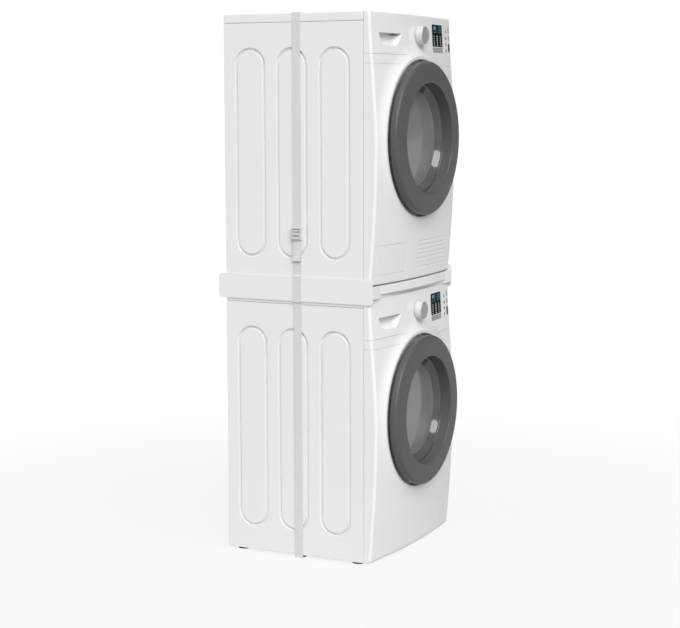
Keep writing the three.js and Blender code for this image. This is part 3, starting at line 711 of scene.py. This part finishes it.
SCOOP_TOP, SCOOP_BOTTOM = 788, 748
SCOOP_LEFT, SCOOP_RIGHT = -252, -114
SCOOP_DEPTH = 23
GRIP_HEIGHT, GRIP_DEPTH = 6.5, 10
ROLLED_EDGE, TURNED_BACK = 0.6, 6
TRAY_FRONT = -226


def scoop_depth(x, z):
    """How far the finger scoop is sunk at a point."""
    if not SCOOP_BOTTOM < z < SCOOP_TOP:
        return 0.0
    rise = (z - SCOOP_BOTTOM) / (SCOOP_TOP - SCOOP_BOTTOM)
    left = SCOOP_LEFT + 14 * (1 - rise) + 22 * max(0, 0.45 - rise) ** 1.5
    right = SCOOP_RIGHT - 33 * (1 - rise) - 22 * max(0, 0.45 - rise) ** 1.5
    inside = min(x - left, right - x)
    if inside <= 0:
        return 0.0
    if z > SCOOP_TOP - GRIP_HEIGHT and inside > 3:
        return SCOOP_DEPTH + GRIP_DEPTH
    across = math.sin(math.pi / 2 * min(1, inside / 16))
    return SCOOP_DEPTH * across * math.sin(math.pi / 2 * min(1, rise * 1.35)) ** 0.8


def drawer_face():
    """The drawer's front: the crowned face with its scoop, the left corner, and the edges turned back."""
    columns = spaced(-TURN_X, SCOOP_LEFT, 8)[:-1] + spaced(SCOOP_LEFT, SCOOP_RIGHT, 2.0)
    columns += spaced(SCOOP_RIGHT, DRAWER_EDGE_X - 0.9, 8)[1:] + [DRAWER_EDGE_X - 0.4]
    heights = [DRAWER_LOW + HALF_GAP, DRAWER_LOW + 0.9] + spaced(DRAWER_LOW + 3, SCOOP_BOTTOM, 8)[:-1]
    heights += spaced(SCOOP_BOTTOM, SCOOP_TOP - GRIP_HEIGHT - 0.1, 1.8)
    heights += [SCOOP_TOP - GRIP_HEIGHT + 0.1, SCOOP_TOP - 3, SCOOP_TOP - 0.2, SCOOP_TOP + 0.4]
    heights += spaced(SCOOP_TOP + 4, TOP - TOP_R, 9) + TOP_ROUNDING[1:]
    points = []
    for z in heights:
        for x in columns:
            px, y, pz = front_point(x, z)
            edge = ROLLED_EDGE if x == columns[-1] or z == heights[0] else 0
            points.append((px, y + scoop_depth(x, z) + edge, pz))
    points += [(x, SEAM, TOP) for x in columns]
    parts = [(points, grid_faces(len(heights) + 1, len(columns))), flank(-1, heights),
             back_to_seam([front_point(-u, TOP) for u in CORNER_STEPS[:-3]])]
    low_edge = [front_point(x, heights[0]) for x in columns]
    right_edge = [front_point(columns[-1], z) for z in heights]
    for line in (low_edge, right_edge):
        turned = [(x, y + back, z) for back in (ROLLED_EDGE, TURNED_BACK) for x, y, z in line]
        parts.append((turned, grid_faces(2, len(line))))
    return join_meshes(*parts)


def front_skin(face):
    """True for the faces of a CAD drawer's front, which the moulded face above stands for."""
    ahead = all(v.co.y < (SEAM + 0.5) / 1000 for v in face.verts)
    return ahead and not all(abs(v.co.y - TRAY_FRONT / 1000) < 0.0002 for v in face.verts)


tray = Finish("tray_moulding", (0.74, 0.75, 0.76), 0.42)
tray.paint(color=tray.tint(tray.noise(9, 3.0), (0.72, 0.73, 0.74), (0.77, 0.78, 0.79)),
           roughness=tray.between(0.36, 0.5, tray.noise(60, 3.0)))
tray.relief(tray.noise(700, 2.0), 0.00005, 0.6)
for machine, body, node in (("washer", "washer_drawer", "washer_detergent_drawer"),
                            ("dryer", "dryer_tank", "dryer_water_tank")):
    lift = MACHINES[machine]
    piece(f"{machine}_drawer_front", *drawer_face(), body, "white_plastic", moulding, lift)
    dress(node, tray, 0.8, 2, front_skin)

# ---------------------------------------------------------------- program knobs
# A round knob pushed on to the timer's shaft: satin silver, fluted round its side, with a shallow dished
# face that is darker than the side. A short black pointer is inlaid at the edge of the face.

KNOB_LOW, KNOB_HIGH = (corner * 1000 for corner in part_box("washer_program_knob"))
KNOB_X, KNOB_HEIGHT = (KNOB_LOW.x + KNOB_HIGH.x) / 2, (KNOB_LOW.z + KNOB_HIGH.z) / 2
FLUTES, FLUTE_DEPTH = 60, 0.35


def lathe(profile, x=0.0, z=DOOR_HEIGHT, steps=192, shape=None):
    """Rings about an axis along Y through (x, z). `shape` may change the radius with the angle."""
    points = []
    for r, y in profile:
        for i in range(steps):
            a = 2 * math.pi * i / steps
            radius = shape(r, y, a) if shape else r
            points.append((x + radius * math.cos(a), y, z + radius * math.sin(a)))
    return points, grid_faces(len(profile), steps, 0, closed=True)


def fluted(r, y, a):
    """The radius of the knob's side, cut by its flutes."""
    return r - (FLUTE_DEPTH * (1 - math.cos(FLUTES * a)) / 2 if -281 < y < -264.5 and r > 28 else 0)


silver = Finish("satin_silver", (0.42, 0.42, 0.42), 0.38, Coat_Weight=0.1)
turning = silver.noise(260, 3.0, (1, 0.05, 1))
silver.paint(color=silver.tint(turning, (0.40, 0.40, 0.40), (0.47, 0.47, 0.47)),
             roughness=silver.between(0.32, 0.46, turning),
             metallic=silver.between(0.35, 0.5, silver.noise(20)))
silver.relief(turning, 0.00004, 0.6)
knob_side = Finish("knob_side", (0.66, 0.66, 0.66), 0.3, Coat_Weight=0.2, Coat_Roughness=0.1)
knob_side.paint(color=knob_side.tint(knob_side.noise(40, 3.0), (0.63, 0.63, 0.63), (0.69, 0.69, 0.69)),
                roughness=knob_side.between(0.25, 0.36, knob_side.noise(90)))
ink = Finish("black_inlay", (0.02, 0.02, 0.022), 0.4)
ink.paint(roughness=ink.between(0.3, 0.55, ink.noise(500)))

KNOB_FACE_Y = -283.2
KNOB_PROFILE = [(24, -255), (25, -260.2), (28.4, -260.8), (29.6, -261.6), (30, -263), (29.9, -264.4),
                (29.8, -265), (29.2, -272), (28.6, -279), (28.4, -281.2), (28.1, -282.8), (27.3, -284.2),
                (26, -285), (24.4, -284.8), (22, -284.3), (12, -283.5), (0.01, -283.3)]
POINTER = rounded_outline(-0.7, 0.7, 19, 25, 0.6, 4)
for machine, lift in MACHINES.items():
    knob = lathe(KNOB_PROFILE, KNOB_X, KNOB_HEIGHT, 240, fluted)
    piece(f"{machine}_knob", *knob, f"{machine}_knob", "knob_silver", silver, lift,
          [f"{machine}_program_knob"], 40, (knob_side, lambda x, y, z: y > KNOB_FACE_Y))
    bar = [(KNOB_X + x, y, KNOB_HEIGHT + z) for y in (-283.6, -284.95) for x, z in POINTER]
    piece(f"{machine}_knob_pointer", bar, tube_faces(2, len(POINTER)),
          f"{machine}_knob", "display_glass", ink, lift)

# ---------------------------------------------------------------- displays, keys and start buttons
# Each display is a pane of black glass, lit from behind in teal, over a satin grey strip of soft keys.
# Two columns of grey key caps and one dark start button stand beside it. A thin black pad stands for the
# gap round the start button: it is painted shade on a pad, not an opening.

DISPLAY = (119.3, 211.7, 755.3, 826.7)
TRIM_STRIP = (119.3, 211.7, 736, 753.6)
KEY_CAPS = [(242.5, 255.5, z - 5.6, z + 5.6) for z in (807, 785.5, 766, 745.4)]
KEY_CAPS += [(273.2, 284.8, z - 9.5, z + 9.5) for z in (813, 787)]
START = (272.4, 285.6, 741.4, 768.6)


def pad(area, r, proud):
    """A rounded pad that follows the fascia, standing `proud` mm off it, with a softened rim."""
    x0, x1, z0, z1 = area
    sink = 1.5
    half = min(x1 - x0, z1 - z0) / 2 - 0.3
    soft = min(proud, 0.8)
    rings = [(0, sink), (0, soft - proud), (soft * 0.3, soft * 0.35 - proud), (soft, -proud)]
    rings += [(inset, -proud) for inset in np.linspace(soft + 1, half, max(3, int(half / 5)))]
    loops = [rounded_outline(x0 + inset, x1 - inset, z0 + inset, z1 - inset, max(r - inset, 0.15))
             for inset, _ in rings]
    points = [(x, front_y(x, z) + rise, z) for loop, (_, rise) in zip(loops, rings) for x, z in loop]
    return points, tube_faces(len(rings), len(loops[0]))


black_glass = Finish("display_pane", (0.004, 0.005, 0.007), 0.4, Specular_IOR_Level=0.06)
lit_height = black_glass.node("ShaderNodeMath", {"operation": "MODULO"},
                              {0: black_glass.along("Z"), 1: MACHINES["dryer"] / 1000})
upper = (lit_height - 0.797) * 400
black_glass.paint(color=black_glass.tint(upper, (0.003, 0.0035, 0.004), (0.004, 0.014, 0.021)),
                  roughness=black_glass.between(0.35, 0.45, black_glass.noise(80)))
key_grey = Finish("key_cap_grey", (0.30, 0.30, 0.305), 0.45)
key_grey.paint(color=key_grey.tint(key_grey.noise(60, 3.0), (0.29, 0.29, 0.295), (0.33, 0.33, 0.335)),
               roughness=key_grey.between(0.4, 0.52, key_grey.noise(300)))
key_grey.relief(key_grey.noise(1500), 0.00003, 0.6)
dark_key = Finish("start_key_dark", (0.07, 0.07, 0.074), 0.4, Specular_IOR_Level=0.3)
dark_key.paint(color=dark_key.tint(dark_key.noise(90), (0.06, 0.06, 0.064), (0.08, 0.08, 0.085)),
               roughness=dark_key.between(0.3, 0.42, dark_key.noise(300)))
# Near-black finish for the pad round the start button: painted shade standing for the gap.
shadow_gap = Finish("gap_painted_shade", (0.03, 0.03, 0.03), 0.8)
shadow_gap.paint(roughness=shadow_gap.between(0.7, 0.9, shadow_gap.noise(200)))

teal = Finish("teal_light", (0.02, 0.15, 0.2), 0.4, Emission_Strength=0.35)
teal.feed(teal.shader.inputs["Emission Color"],
          teal.tint(teal.noise(900), (0.06, 0.5, 0.62), (0.1, 0.62, 0.76)))
pale = Finish("pale_light", (0.5, 0.56, 0.58), 0.4, Emission_Strength=0.35)
pale.feed(pale.shader.inputs["Emission Color"],
          pale.tint(pale.noise(900), (0.5, 0.56, 0.6), (0.62, 0.68, 0.72)))

DIGIT_BARS = {"1": "bc", "4": "bcfg", "5": "acdfg"}


def printed(x0, x1, z0, z1):
    """A thin lit shape just in front of the display pane."""
    corners = [(x0, z0), (x1, z0), (x1, z1), (x0, z1)]
    return [(x, front_y(x, z) - 0.95, z) for x, z in corners], [(0, 1, 2, 3)]


def digit(figure, x, z, wide=5, high=11, stroke=1.3):
    """One figure of the display, made of bars."""
    middle = z + high / 2
    bars = {
        "a": (x, x + wide, z + high - stroke, z + high), "d": (x, x + wide, z, z + stroke),
        "g": (x, x + wide, middle - stroke / 2, middle + stroke / 2), "f": (x, x + stroke, middle, z + high),
        "b": (x + wide - stroke, x + wide, middle, z + high), "c": (x + wide - stroke, x + wide, z, middle),
    }
    return [printed(*bars[b]) for b in DIGIT_BARS[figure]]


for machine, lift in MACHINES.items():
    piece(f"{machine}_display_pane", *pad(DISPLAY, 3.5, 0.8), "root", "display_glass", black_glass, lift,
          [f"{machine}_display"])
    lit = digit("1", 128, 809) + digit("4", 137, 809) + digit("5", 146, 809)
    piece(f"{machine}_display_time", *join_meshes(*lit), "root", "display_glass", pale, lift)
    marks = [printed(126 + 11 * i, 133 + 11 * i, 801, 803) for i in range(3)]
    marks += [printed(x, x + 5, z, z + 3.5) for x in (178, 190, 201) for z in (801, 809, 817)]
    piece(f"{machine}_display_marks", *join_meshes(*marks), "root", "display_glass", teal, lift)
    dots = [printed(x - half, x + half, z - 2, z + 2) for x, half in ((134, 2), (163, 3.2), (192, 2.2))
            for z in (789, 782, 775, 768, 761)]
    piece(f"{machine}_display_dots", *join_meshes(*dots), "root", "display_glass", pale, lift)
    piece(f"{machine}_soft_key_strip", *pad(TRIM_STRIP, 2, 0.5), "root", "knob_silver", key_grey, lift)
    for i, cap in enumerate(KEY_CAPS):
        piece(f"{machine}_key_{i + 1}", *pad(cap, 5.4, 0.9), "root", "knob_silver", key_grey, lift)
    gap = (START[0] - 1, START[1] + 1, START[2] - 1, START[3] + 1)
    piece(f"{machine}_start_gap", *pad(gap, 7.4, 0.1), "root", "display_glass", shadow_gap, lift)
    piece(f"{machine}_start_cap", *pad(START, 6.5, 1.7), f"{machine}_start", "start_grey", dark_key, lift,
          [f"{machine}_start_button"])

# ---------------------------------------------------------------- doors
# A thick ring, moulded in dark grey and lacquered, carries a glass bowl with a flat front. The glass is made
# opaque. A dark trim line closes the joint between the two. The ring is notched at the right for its hinge.

RING_PROFILE = [(206, -276), (238.5, -276), (242, -277.6), (243.6, -280), (244, -282), (244, -295.6),
                (243.3, -298), (241.2, -300), (238.6, -301.8), (236, -303), (233, -303.7), (224, -304.8),
                (205, -306.1), (186, -306.9), (180, -307), (178, -306.6), (176.8, -305.6), (176.2, -304),
                (175.2, -294), (173.6, -281), (172.6, -274.8), (172.3, -273.2), (172.2, -262),
                (172.2, -257), (200, -257), (206, -276)]
BOWL_CONE = [(171.6, -267), (171.6, -271.6), (170.8, -272), (168.6, -271.4), (167, -270), (158.5, -260),
             (152.5, -252.8), (151, -251.5)]
BOWL_WINDOW = [(151, -251.5), (149.4, -251), (148, -251.1), (100, -251.6), (50, -252), (0.01, -252.1)]
BOWL_BACK = [(0.01, -246.8), (148, -246.8), (153, -248), (160, -255), (171.6, -267)]
TRIM_PROFILE = [(172.3, -272), (172.2, -273.6), (171.4, -274.2), (170.3, -273.6), (170.2, -271.6)]
NOTCH_LOW, NOTCH_HIGH, NOTCH_HALF_HEIGHT = (224, -297), (260, -262), 36
HINGE_X, HINGE_Y = 242, -291
BARREL_R, BARREL_HALF_HEIGHT = 5, 15.5

lacquer = Finish("ring_lacquer", (0.08, 0.08, 0.081), 0.36, Coat_Weight=0.1, Coat_Roughness=0.15,
                 Specular_IOR_Level=0.3)
flake = lacquer.noise(1800, 1.0)
lacquer.paint(color=lacquer.tint(flake, (0.084, 0.084, 0.085), (0.10, 0.10, 0.101)),
              roughness=lacquer.between(0.28, 0.40, lacquer.noise(22, 4.0)),
              metallic=lacquer.between(0.0, 0.1, flake))
lacquer.relief(lacquer.noise(500, 2.0), 0.00003, 0.5)
smoked = Finish("smoked_glass", (0.26, 0.26, 0.262), 0.12, Coat_Weight=0.5, Coat_Roughness=0.03)
smoked.paint(color=smoked.tint(smoked.noise(7, 3.0), (0.25, 0.25, 0.252), (0.29, 0.29, 0.292)),
             roughness=smoked.between(0.10, 0.18, smoked.noise(40, 3.0)),
             metallic=smoked.between(0.25, 0.35, smoked.noise(9)))
dark_glass = Finish("dark_glass", (0.07, 0.07, 0.072), 0.1, Coat_Weight=0.6, Coat_Roughness=0.03)
dark_glass.paint(color=dark_glass.tint(dark_glass.noise(12, 3.0), (0.06, 0.06, 0.062), (0.085, 0.085, 0.087)),
                 roughness=dark_glass.between(0.07, 0.16, dark_glass.noise(50, 3.0)))
trim = Finish("dark_trim", (0.12, 0.12, 0.122), 0.35)
trim.paint(metallic=trim.between(0.8, 0.95, trim.noise(30)),
           roughness=trim.between(0.3, 0.42, trim.noise(200, 2.0, (1, 0.1, 1))))
zinc = Finish("cast_zinc", (0.5, 0.51, 0.52), 0.45)
zinc.paint(color=zinc.tint(zinc.noise(45, 4.0), (0.42, 0.43, 0.44), (0.56, 0.57, 0.58)),
           roughness=zinc.between(0.38, 0.6, zinc.noise(120, 3.0)),
           metallic=zinc.between(0.75, 0.95, zinc.noise(30)))
zinc.relief(zinc.noise(600, 3.0), 0.00012, 0.6)


def carve(obj, low, high):
    """Cuts a box out of a piece, given by its two corners in millimetres."""
    corners = [(x / 1000, y / 1000, z / 1000)
               for x in (low[0], high[0]) for y in (low[1], high[1]) for z in (low[2], high[2])]
    mesh = bpy.data.meshes.new("cutter")
    sides = [(0, 1, 3, 2), (4, 6, 7, 5), (0, 4, 5, 1), (2, 3, 7, 6), (0, 2, 6, 4), (1, 5, 7, 3)]
    mesh.from_pydata(corners, [], sides)
    cutter = bpy.data.objects.new("cutter", mesh)
    scene.collection.objects.link(cutter)
    modifier = obj.modifiers.new("notch", "BOOLEAN")
    modifier.operation = "DIFFERENCE"
    modifier.solver = "EXACT"
    modifier.object = cutter
    shaped = bpy.data.meshes.new_from_object(obj.evaluated_get(bpy.context.evaluated_depsgraph_get()))
    obj.modifiers.clear()
    obj.data = shaped
    bpy.data.objects.remove(cutter)


barrel = [(BARREL_R * math.cos(a), BARREL_R * math.sin(a)) for a in np.radians(np.arange(-150, 151, 15))]
barrel += [(-20, -2.9), (-20, 2.9)]
hinge_barrel = [(HINGE_X + x, HINGE_Y + y, DOOR_HEIGHT + z)
                for z in (-BARREL_HALF_HEIGHT, BARREL_HALF_HEIGHT) for x, y in barrel]
for machine, lift in MACHINES.items():
    body = f"{machine}_door"
    ring = piece(f"{machine}_ring", *lathe(RING_PROFILE), body, "ring_grey", lacquer, lift,
                 [f"{machine}_door_ring"], 35)
    mid = DOOR_HEIGHT + lift
    carve(ring, (*NOTCH_LOW, mid - NOTCH_HALF_HEIGHT), (*NOTCH_HIGH, mid + NOTCH_HALF_HEIGHT))
    piece(f"{machine}_hinge_barrel", hinge_barrel, tube_faces(2, len(barrel), near=True),
          body, "ring_grey", lacquer, lift)
    for name, profile, finish, replaced in (("bowl", BOWL_CONE, dark_glass, [f"{machine}_door_glass"]),
                                            ("bowl_window", BOWL_WINDOW, smoked, ()),
                                            ("bowl_back", BOWL_BACK, dark_glass, ())):
        piece(f"{machine}_{name}", *lathe(profile), body, "smoked_glass", finish, lift, replaced, 60)
    piece(f"{machine}_door_trim", *lathe(TRIM_PROFILE), body, "buckle_metal", trim, lift, crease=60)
    dress(f"{machine}_door_hinge", zinc, 0.4)

# ---------------------------------------------------------------- feet
# Four levelling feet screw up through each base: a ribbed black rubber pad round a plated stem.
# Each is one piece here, with the rubber's finish all over.

rubber = Finish("black_rubber", (0.018, 0.018, 0.018), 0.75)
rubber.paint(color=rubber.tint(rubber.noise(70, 4.0), (0.014, 0.014, 0.014), (0.04, 0.04, 0.04)),
             roughness=rubber.between(0.62, 0.85, rubber.noise(150, 3.0)))
rubber.relief((rubber.along("Z") * 2600).wave() + rubber.noise(500, 2.0), 0.00025, 0.5)
for machine in MACHINES:
    for place in ("front_left", "front_right", "back_left", "back_right"):
        dress(f"{machine}_foot_{place}", rubber, 0.7, 2)

# ---------------------------------------------------------------- working parts inside
# The stainless drums are pierced and ribbed; their holes are painted shade. The tub, housings and bulkhead
# are filled grey mouldings. Motors and pulleys are cast, the belts and rollers are black rubber, and the
# counterweight is concrete.

def pierced(name, axis_height):
    """Brushed stainless with a pattern of small holes round the drum's shell, painted dark as painted shade.
    """
    steel = Finish(name, (0.6, 0.61, 0.62), 0.28)
    x, up = steel.along("X"), steel.along("Z") - axis_height
    turn = steel.node("ShaderNodeMath", {"operation": "ARCTAN2"}, {0: up, 1: x})
    across = (turn * (180 / (2 * math.pi))).fraction() - 0.5
    down = (steel.along("Y") * 85).fraction() - 0.5
    spot = 1 - (across * across + down * down).over(0.035)
    hole = spot * (x * x + up * up).over(0.05)
    brushed = steel.noise(180, 3.0, (1, 0.04, 1))
    bright = steel.tint(brushed, (0.52, 0.53, 0.54), (0.66, 0.67, 0.68))
    # The holes are painted near-black: painted shade standing for openings that are not cut.
    dark = (0.02, 0.02, 0.02, 1)
    steel.paint(color=steel.node("ShaderNodeMix", {"data_type": "RGBA"}, {0: hole, 6: bright, 7: dark}, 2),
                roughness=steel.between(0.22, 0.36, brushed), metallic=0.95 - hole * 0.9)
    steel.relief(1 - hole, 0.0006, 0.6)
    return steel


filled = Finish("filled_grey", (0.36, 0.37, 0.38), 0.55)
filled.paint(color=filled.tint(filled.noise(25, 4.0), (0.33, 0.34, 0.35), (0.40, 0.41, 0.42)),
             roughness=filled.between(0.48, 0.64, filled.noise(90, 3.0)))
filled.relief(filled.noise(400, 3.0), 0.0001, 0.5)
gasket = Finish("gasket_grey", (0.17, 0.17, 0.175), 0.6)
gasket.paint(color=gasket.tint(gasket.noise(30, 4.0), (0.15, 0.15, 0.155), (0.20, 0.20, 0.205)),
             roughness=gasket.between(0.5, 0.68, gasket.noise(110, 3.0)))
gasket.relief(gasket.noise(700, 2.0), 0.0001, 0.5)
housing = Finish("motor_casting", (0.4, 0.4, 0.4), 0.5)
housing.paint(color=housing.tint(housing.noise(35, 4.0), (0.34, 0.34, 0.34), (0.46, 0.46, 0.46)),
              roughness=housing.between(0.42, 0.6, housing.noise(140)),
              metallic=housing.between(0.6, 0.85, housing.noise(16)))
housing.relief((housing.along("Y") * 900).wave() * 0.6 + housing.noise(300), 0.0006, 0.5)
spring = Finish("spring_wire", (0.5, 0.5, 0.52), 0.3)
spring.paint(metallic=spring.between(0.85, 0.95, spring.noise(60)),
             roughness=spring.between(0.24, 0.4, spring.noise(300)))
black_plastic = Finish("black_plastic", (0.04, 0.04, 0.04), 0.5)
plastic_cloud = black_plastic.noise(40, 3.0)
black_plastic.paint(color=black_plastic.tint(plastic_cloud, (0.03, 0.03, 0.03), (0.055, 0.055, 0.055)),
                    roughness=black_plastic.between(0.42, 0.6, black_plastic.noise(160)))
concrete = Finish("cast_concrete", (0.34, 0.33, 0.31), 0.9)
speckle = concrete.noise(160, 5.0)
concrete.paint(color=concrete.tint(speckle, (0.27, 0.26, 0.245), (0.42, 0.41, 0.39)),
               roughness=concrete.between(0.82, 0.96, concrete.noise(60, 3.0)))
concrete.relief(speckle + concrete.noise(40, 3.0), 0.0008, 0.7)

PARTS_INSIDE = {
    "grey_plastic": (filled, 0.8, ["washer_drawer_housing", "washer_tub", "washer_drain_pump",
                                   "dryer_front_bulkhead", "dryer_lint_filter", "dryer_fan"]),
    "grey_rubber": (gasket, 0.8, ["washer_door_gasket"]),
    "black_rubber": (rubber, 0.5, ["washer_drive_belt", "dryer_drum_belt", "dryer_support_roller_left",
                                   "dryer_support_roller_right"]),
    "motor_metal": (housing, 1.2, ["washer_motor", "dryer_motor"]),
    "hinge_zinc": (zinc, 0.6, ["washer_drum_pulley", "washer_motor_pulley", "dryer_condenser"]),
    "spring_steel": (spring, 0.2, ["washer_tub_spring_left", "washer_tub_spring_right"]),
    "dark_plastic": (black_plastic, 0.8, ["washer_damper_left", "washer_damper_right"]),
    "concrete": (concrete, 2.5, ["washer_counterweight"]),
}
for slot, (finish, edge, nodes) in PARTS_INSIDE.items():
    for node in nodes:
        dress(node, finish, edge, 2)
for machine, lift in MACHINES.items():
    steel = pierced(f"{machine}_stainless", (DOOR_HEIGHT + lift) / 1000)
    dress(f"{machine}_drum", steel, 0.8, 2)

# ---------------------------------------------------------------- stacking kit
# Folded and welded steel, enamelled white: rails, a front bar, and a flange plate on each side.
# A moulded shelf runs out between the rails, with a bowed front that is its grip.

dress("kit_frame", enamel, 1.3, 3)
dress("kit_shelf", moulding, 1.6, 3)

# ---------------------------------------------------------------- strap and buckle
# One length of woven polyester webbing is drawn round both machines and pulled tight in a cam buckle.
# The buckle is pressed from plated steel. The webbing's free tail hangs below it, and curls off it.

webbing = Finish("woven_webbing", (0.60, 0.59, 0.57), 0.85, Sheen_Weight=0.25, Sheen_Roughness=0.5)
length_way = (webbing.along("Z") + webbing.along("X")) * 3600
width_way = webbing.along("Y") * 2600
weave = length_way.wave() * width_way.wave()
rib = (webbing.along("Y") * 1500).wave()
webbing.paint(color=webbing.tint(webbing.noise(50, 4.0), (0.66, 0.66, 0.645), (0.72, 0.72, 0.705)),
              roughness=webbing.between(0.78, 0.92, weave))
webbing.relief(weave * 0.5 + rib * 0.3, 0.0005, 0.7)
dress("strap", webbing, 0.45, 2)

plated = Finish("plated_steel", (0.55, 0.56, 0.57), 0.25)
plated.paint(color=plated.tint(plated.noise(30, 3.0), (0.66, 0.67, 0.68), (0.76, 0.77, 0.78)),
             metallic=plated.between(0.3, 0.4, plated.noise(25)),
             roughness=plated.between(0.18, 0.34, plated.noise(160, 3.0, (1, 1, 0.08))))
dress("buckle_frame", plated, 0.5, 2)

BUCKLE_LOW, BUCKLE_HIGH = (corner * 1000 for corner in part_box("buckle_lever"))
LEVER_TOP = BUCKLE_HIGH.z - 7
LEVER_THICK, ARM_THICK = 1.8, 2
SLOT = (5, 27, 1038.5, 1043)
PIN_X, PIN_HEIGHT, PIN_R, PIN_STEPS = -308.8, 1056, 1.8, 20


def thick_plate(outline, holes, outer, inner):
    """A flat plate between two planes across X, cut right through by its holes."""
    parts = [plate(outline, holes, lambda y, z, x=x: (x, y, z)) for x in (outer, inner)]
    for loop in (outline, *holes):
        wall = [(x, y, z) for x in (outer, inner) for y, z in loop]
        parts.append((wall, grid_faces(2, len(loop), 0, closed=True)))
    return join_meshes(*parts)


lever_outline = rounded_outline(BUCKLE_LOW.y, BUCKLE_HIGH.y, BUCKLE_LOW.z, LEVER_TOP, 2, 5)
lever_plate = thick_plate(lever_outline, [rounded_outline(*SLOT, 1.6, 5)],
                          BUCKLE_LOW.x, BUCKLE_LOW.x + LEVER_THICK)
arms = [thick_plate(rounded_outline(y, y + ARM_THICK, LEVER_TOP - 4, BUCKLE_HIGH.z, 0.7, 4), [],
                    BUCKLE_LOW.x + 1, BUCKLE_HIGH.x)
        for y in (BUCKLE_LOW.y, BUCKLE_HIGH.y - ARM_THICK)]
piece("buckle_lever_plate", *join_meshes(lever_plate, *arms), "lever", "buckle_metal", plated, 0,
      ["buckle_lever"], 40)
pin = [(PIN_X + PIN_R * math.cos(a), y, PIN_HEIGHT + PIN_R * math.sin(a))
       for y in (BUCKLE_LOW.y, BUCKLE_HIGH.y) for a in np.linspace(0, 2 * math.pi, PIN_STEPS, endpoint=False)]
piece("buckle_pin", pin, tube_faces(2, PIN_STEPS, near=True), "lever", "buckle_metal", plated)

TAIL_END, TAIL_START = 961, 1030
TAIL_CURL, TAIL_THICK = 3.4, 1.3
TAIL_NEAR, TAIL_FAR = 2.4, 29.6


def tail_shape(z):
    """X of the tail's inner side: it curls away from the strap as it hangs."""
    return -304.7 - TAIL_CURL * ((TAIL_START - z) / (TAIL_START - TAIL_END)) ** 2


levels = spaced(TAIL_END, TAIL_START, 4)
corners = ((0, TAIL_NEAR), (TAIL_THICK, TAIL_NEAR), (TAIL_THICK, TAIL_FAR), (0, TAIL_FAR))
tail = [(tail_shape(z) - out, y, z) for z in levels for out, y in corners]
piece("strap_tail", tail, tube_faces(len(levels), len(corners), near=True), "root", "webbing", webbing)
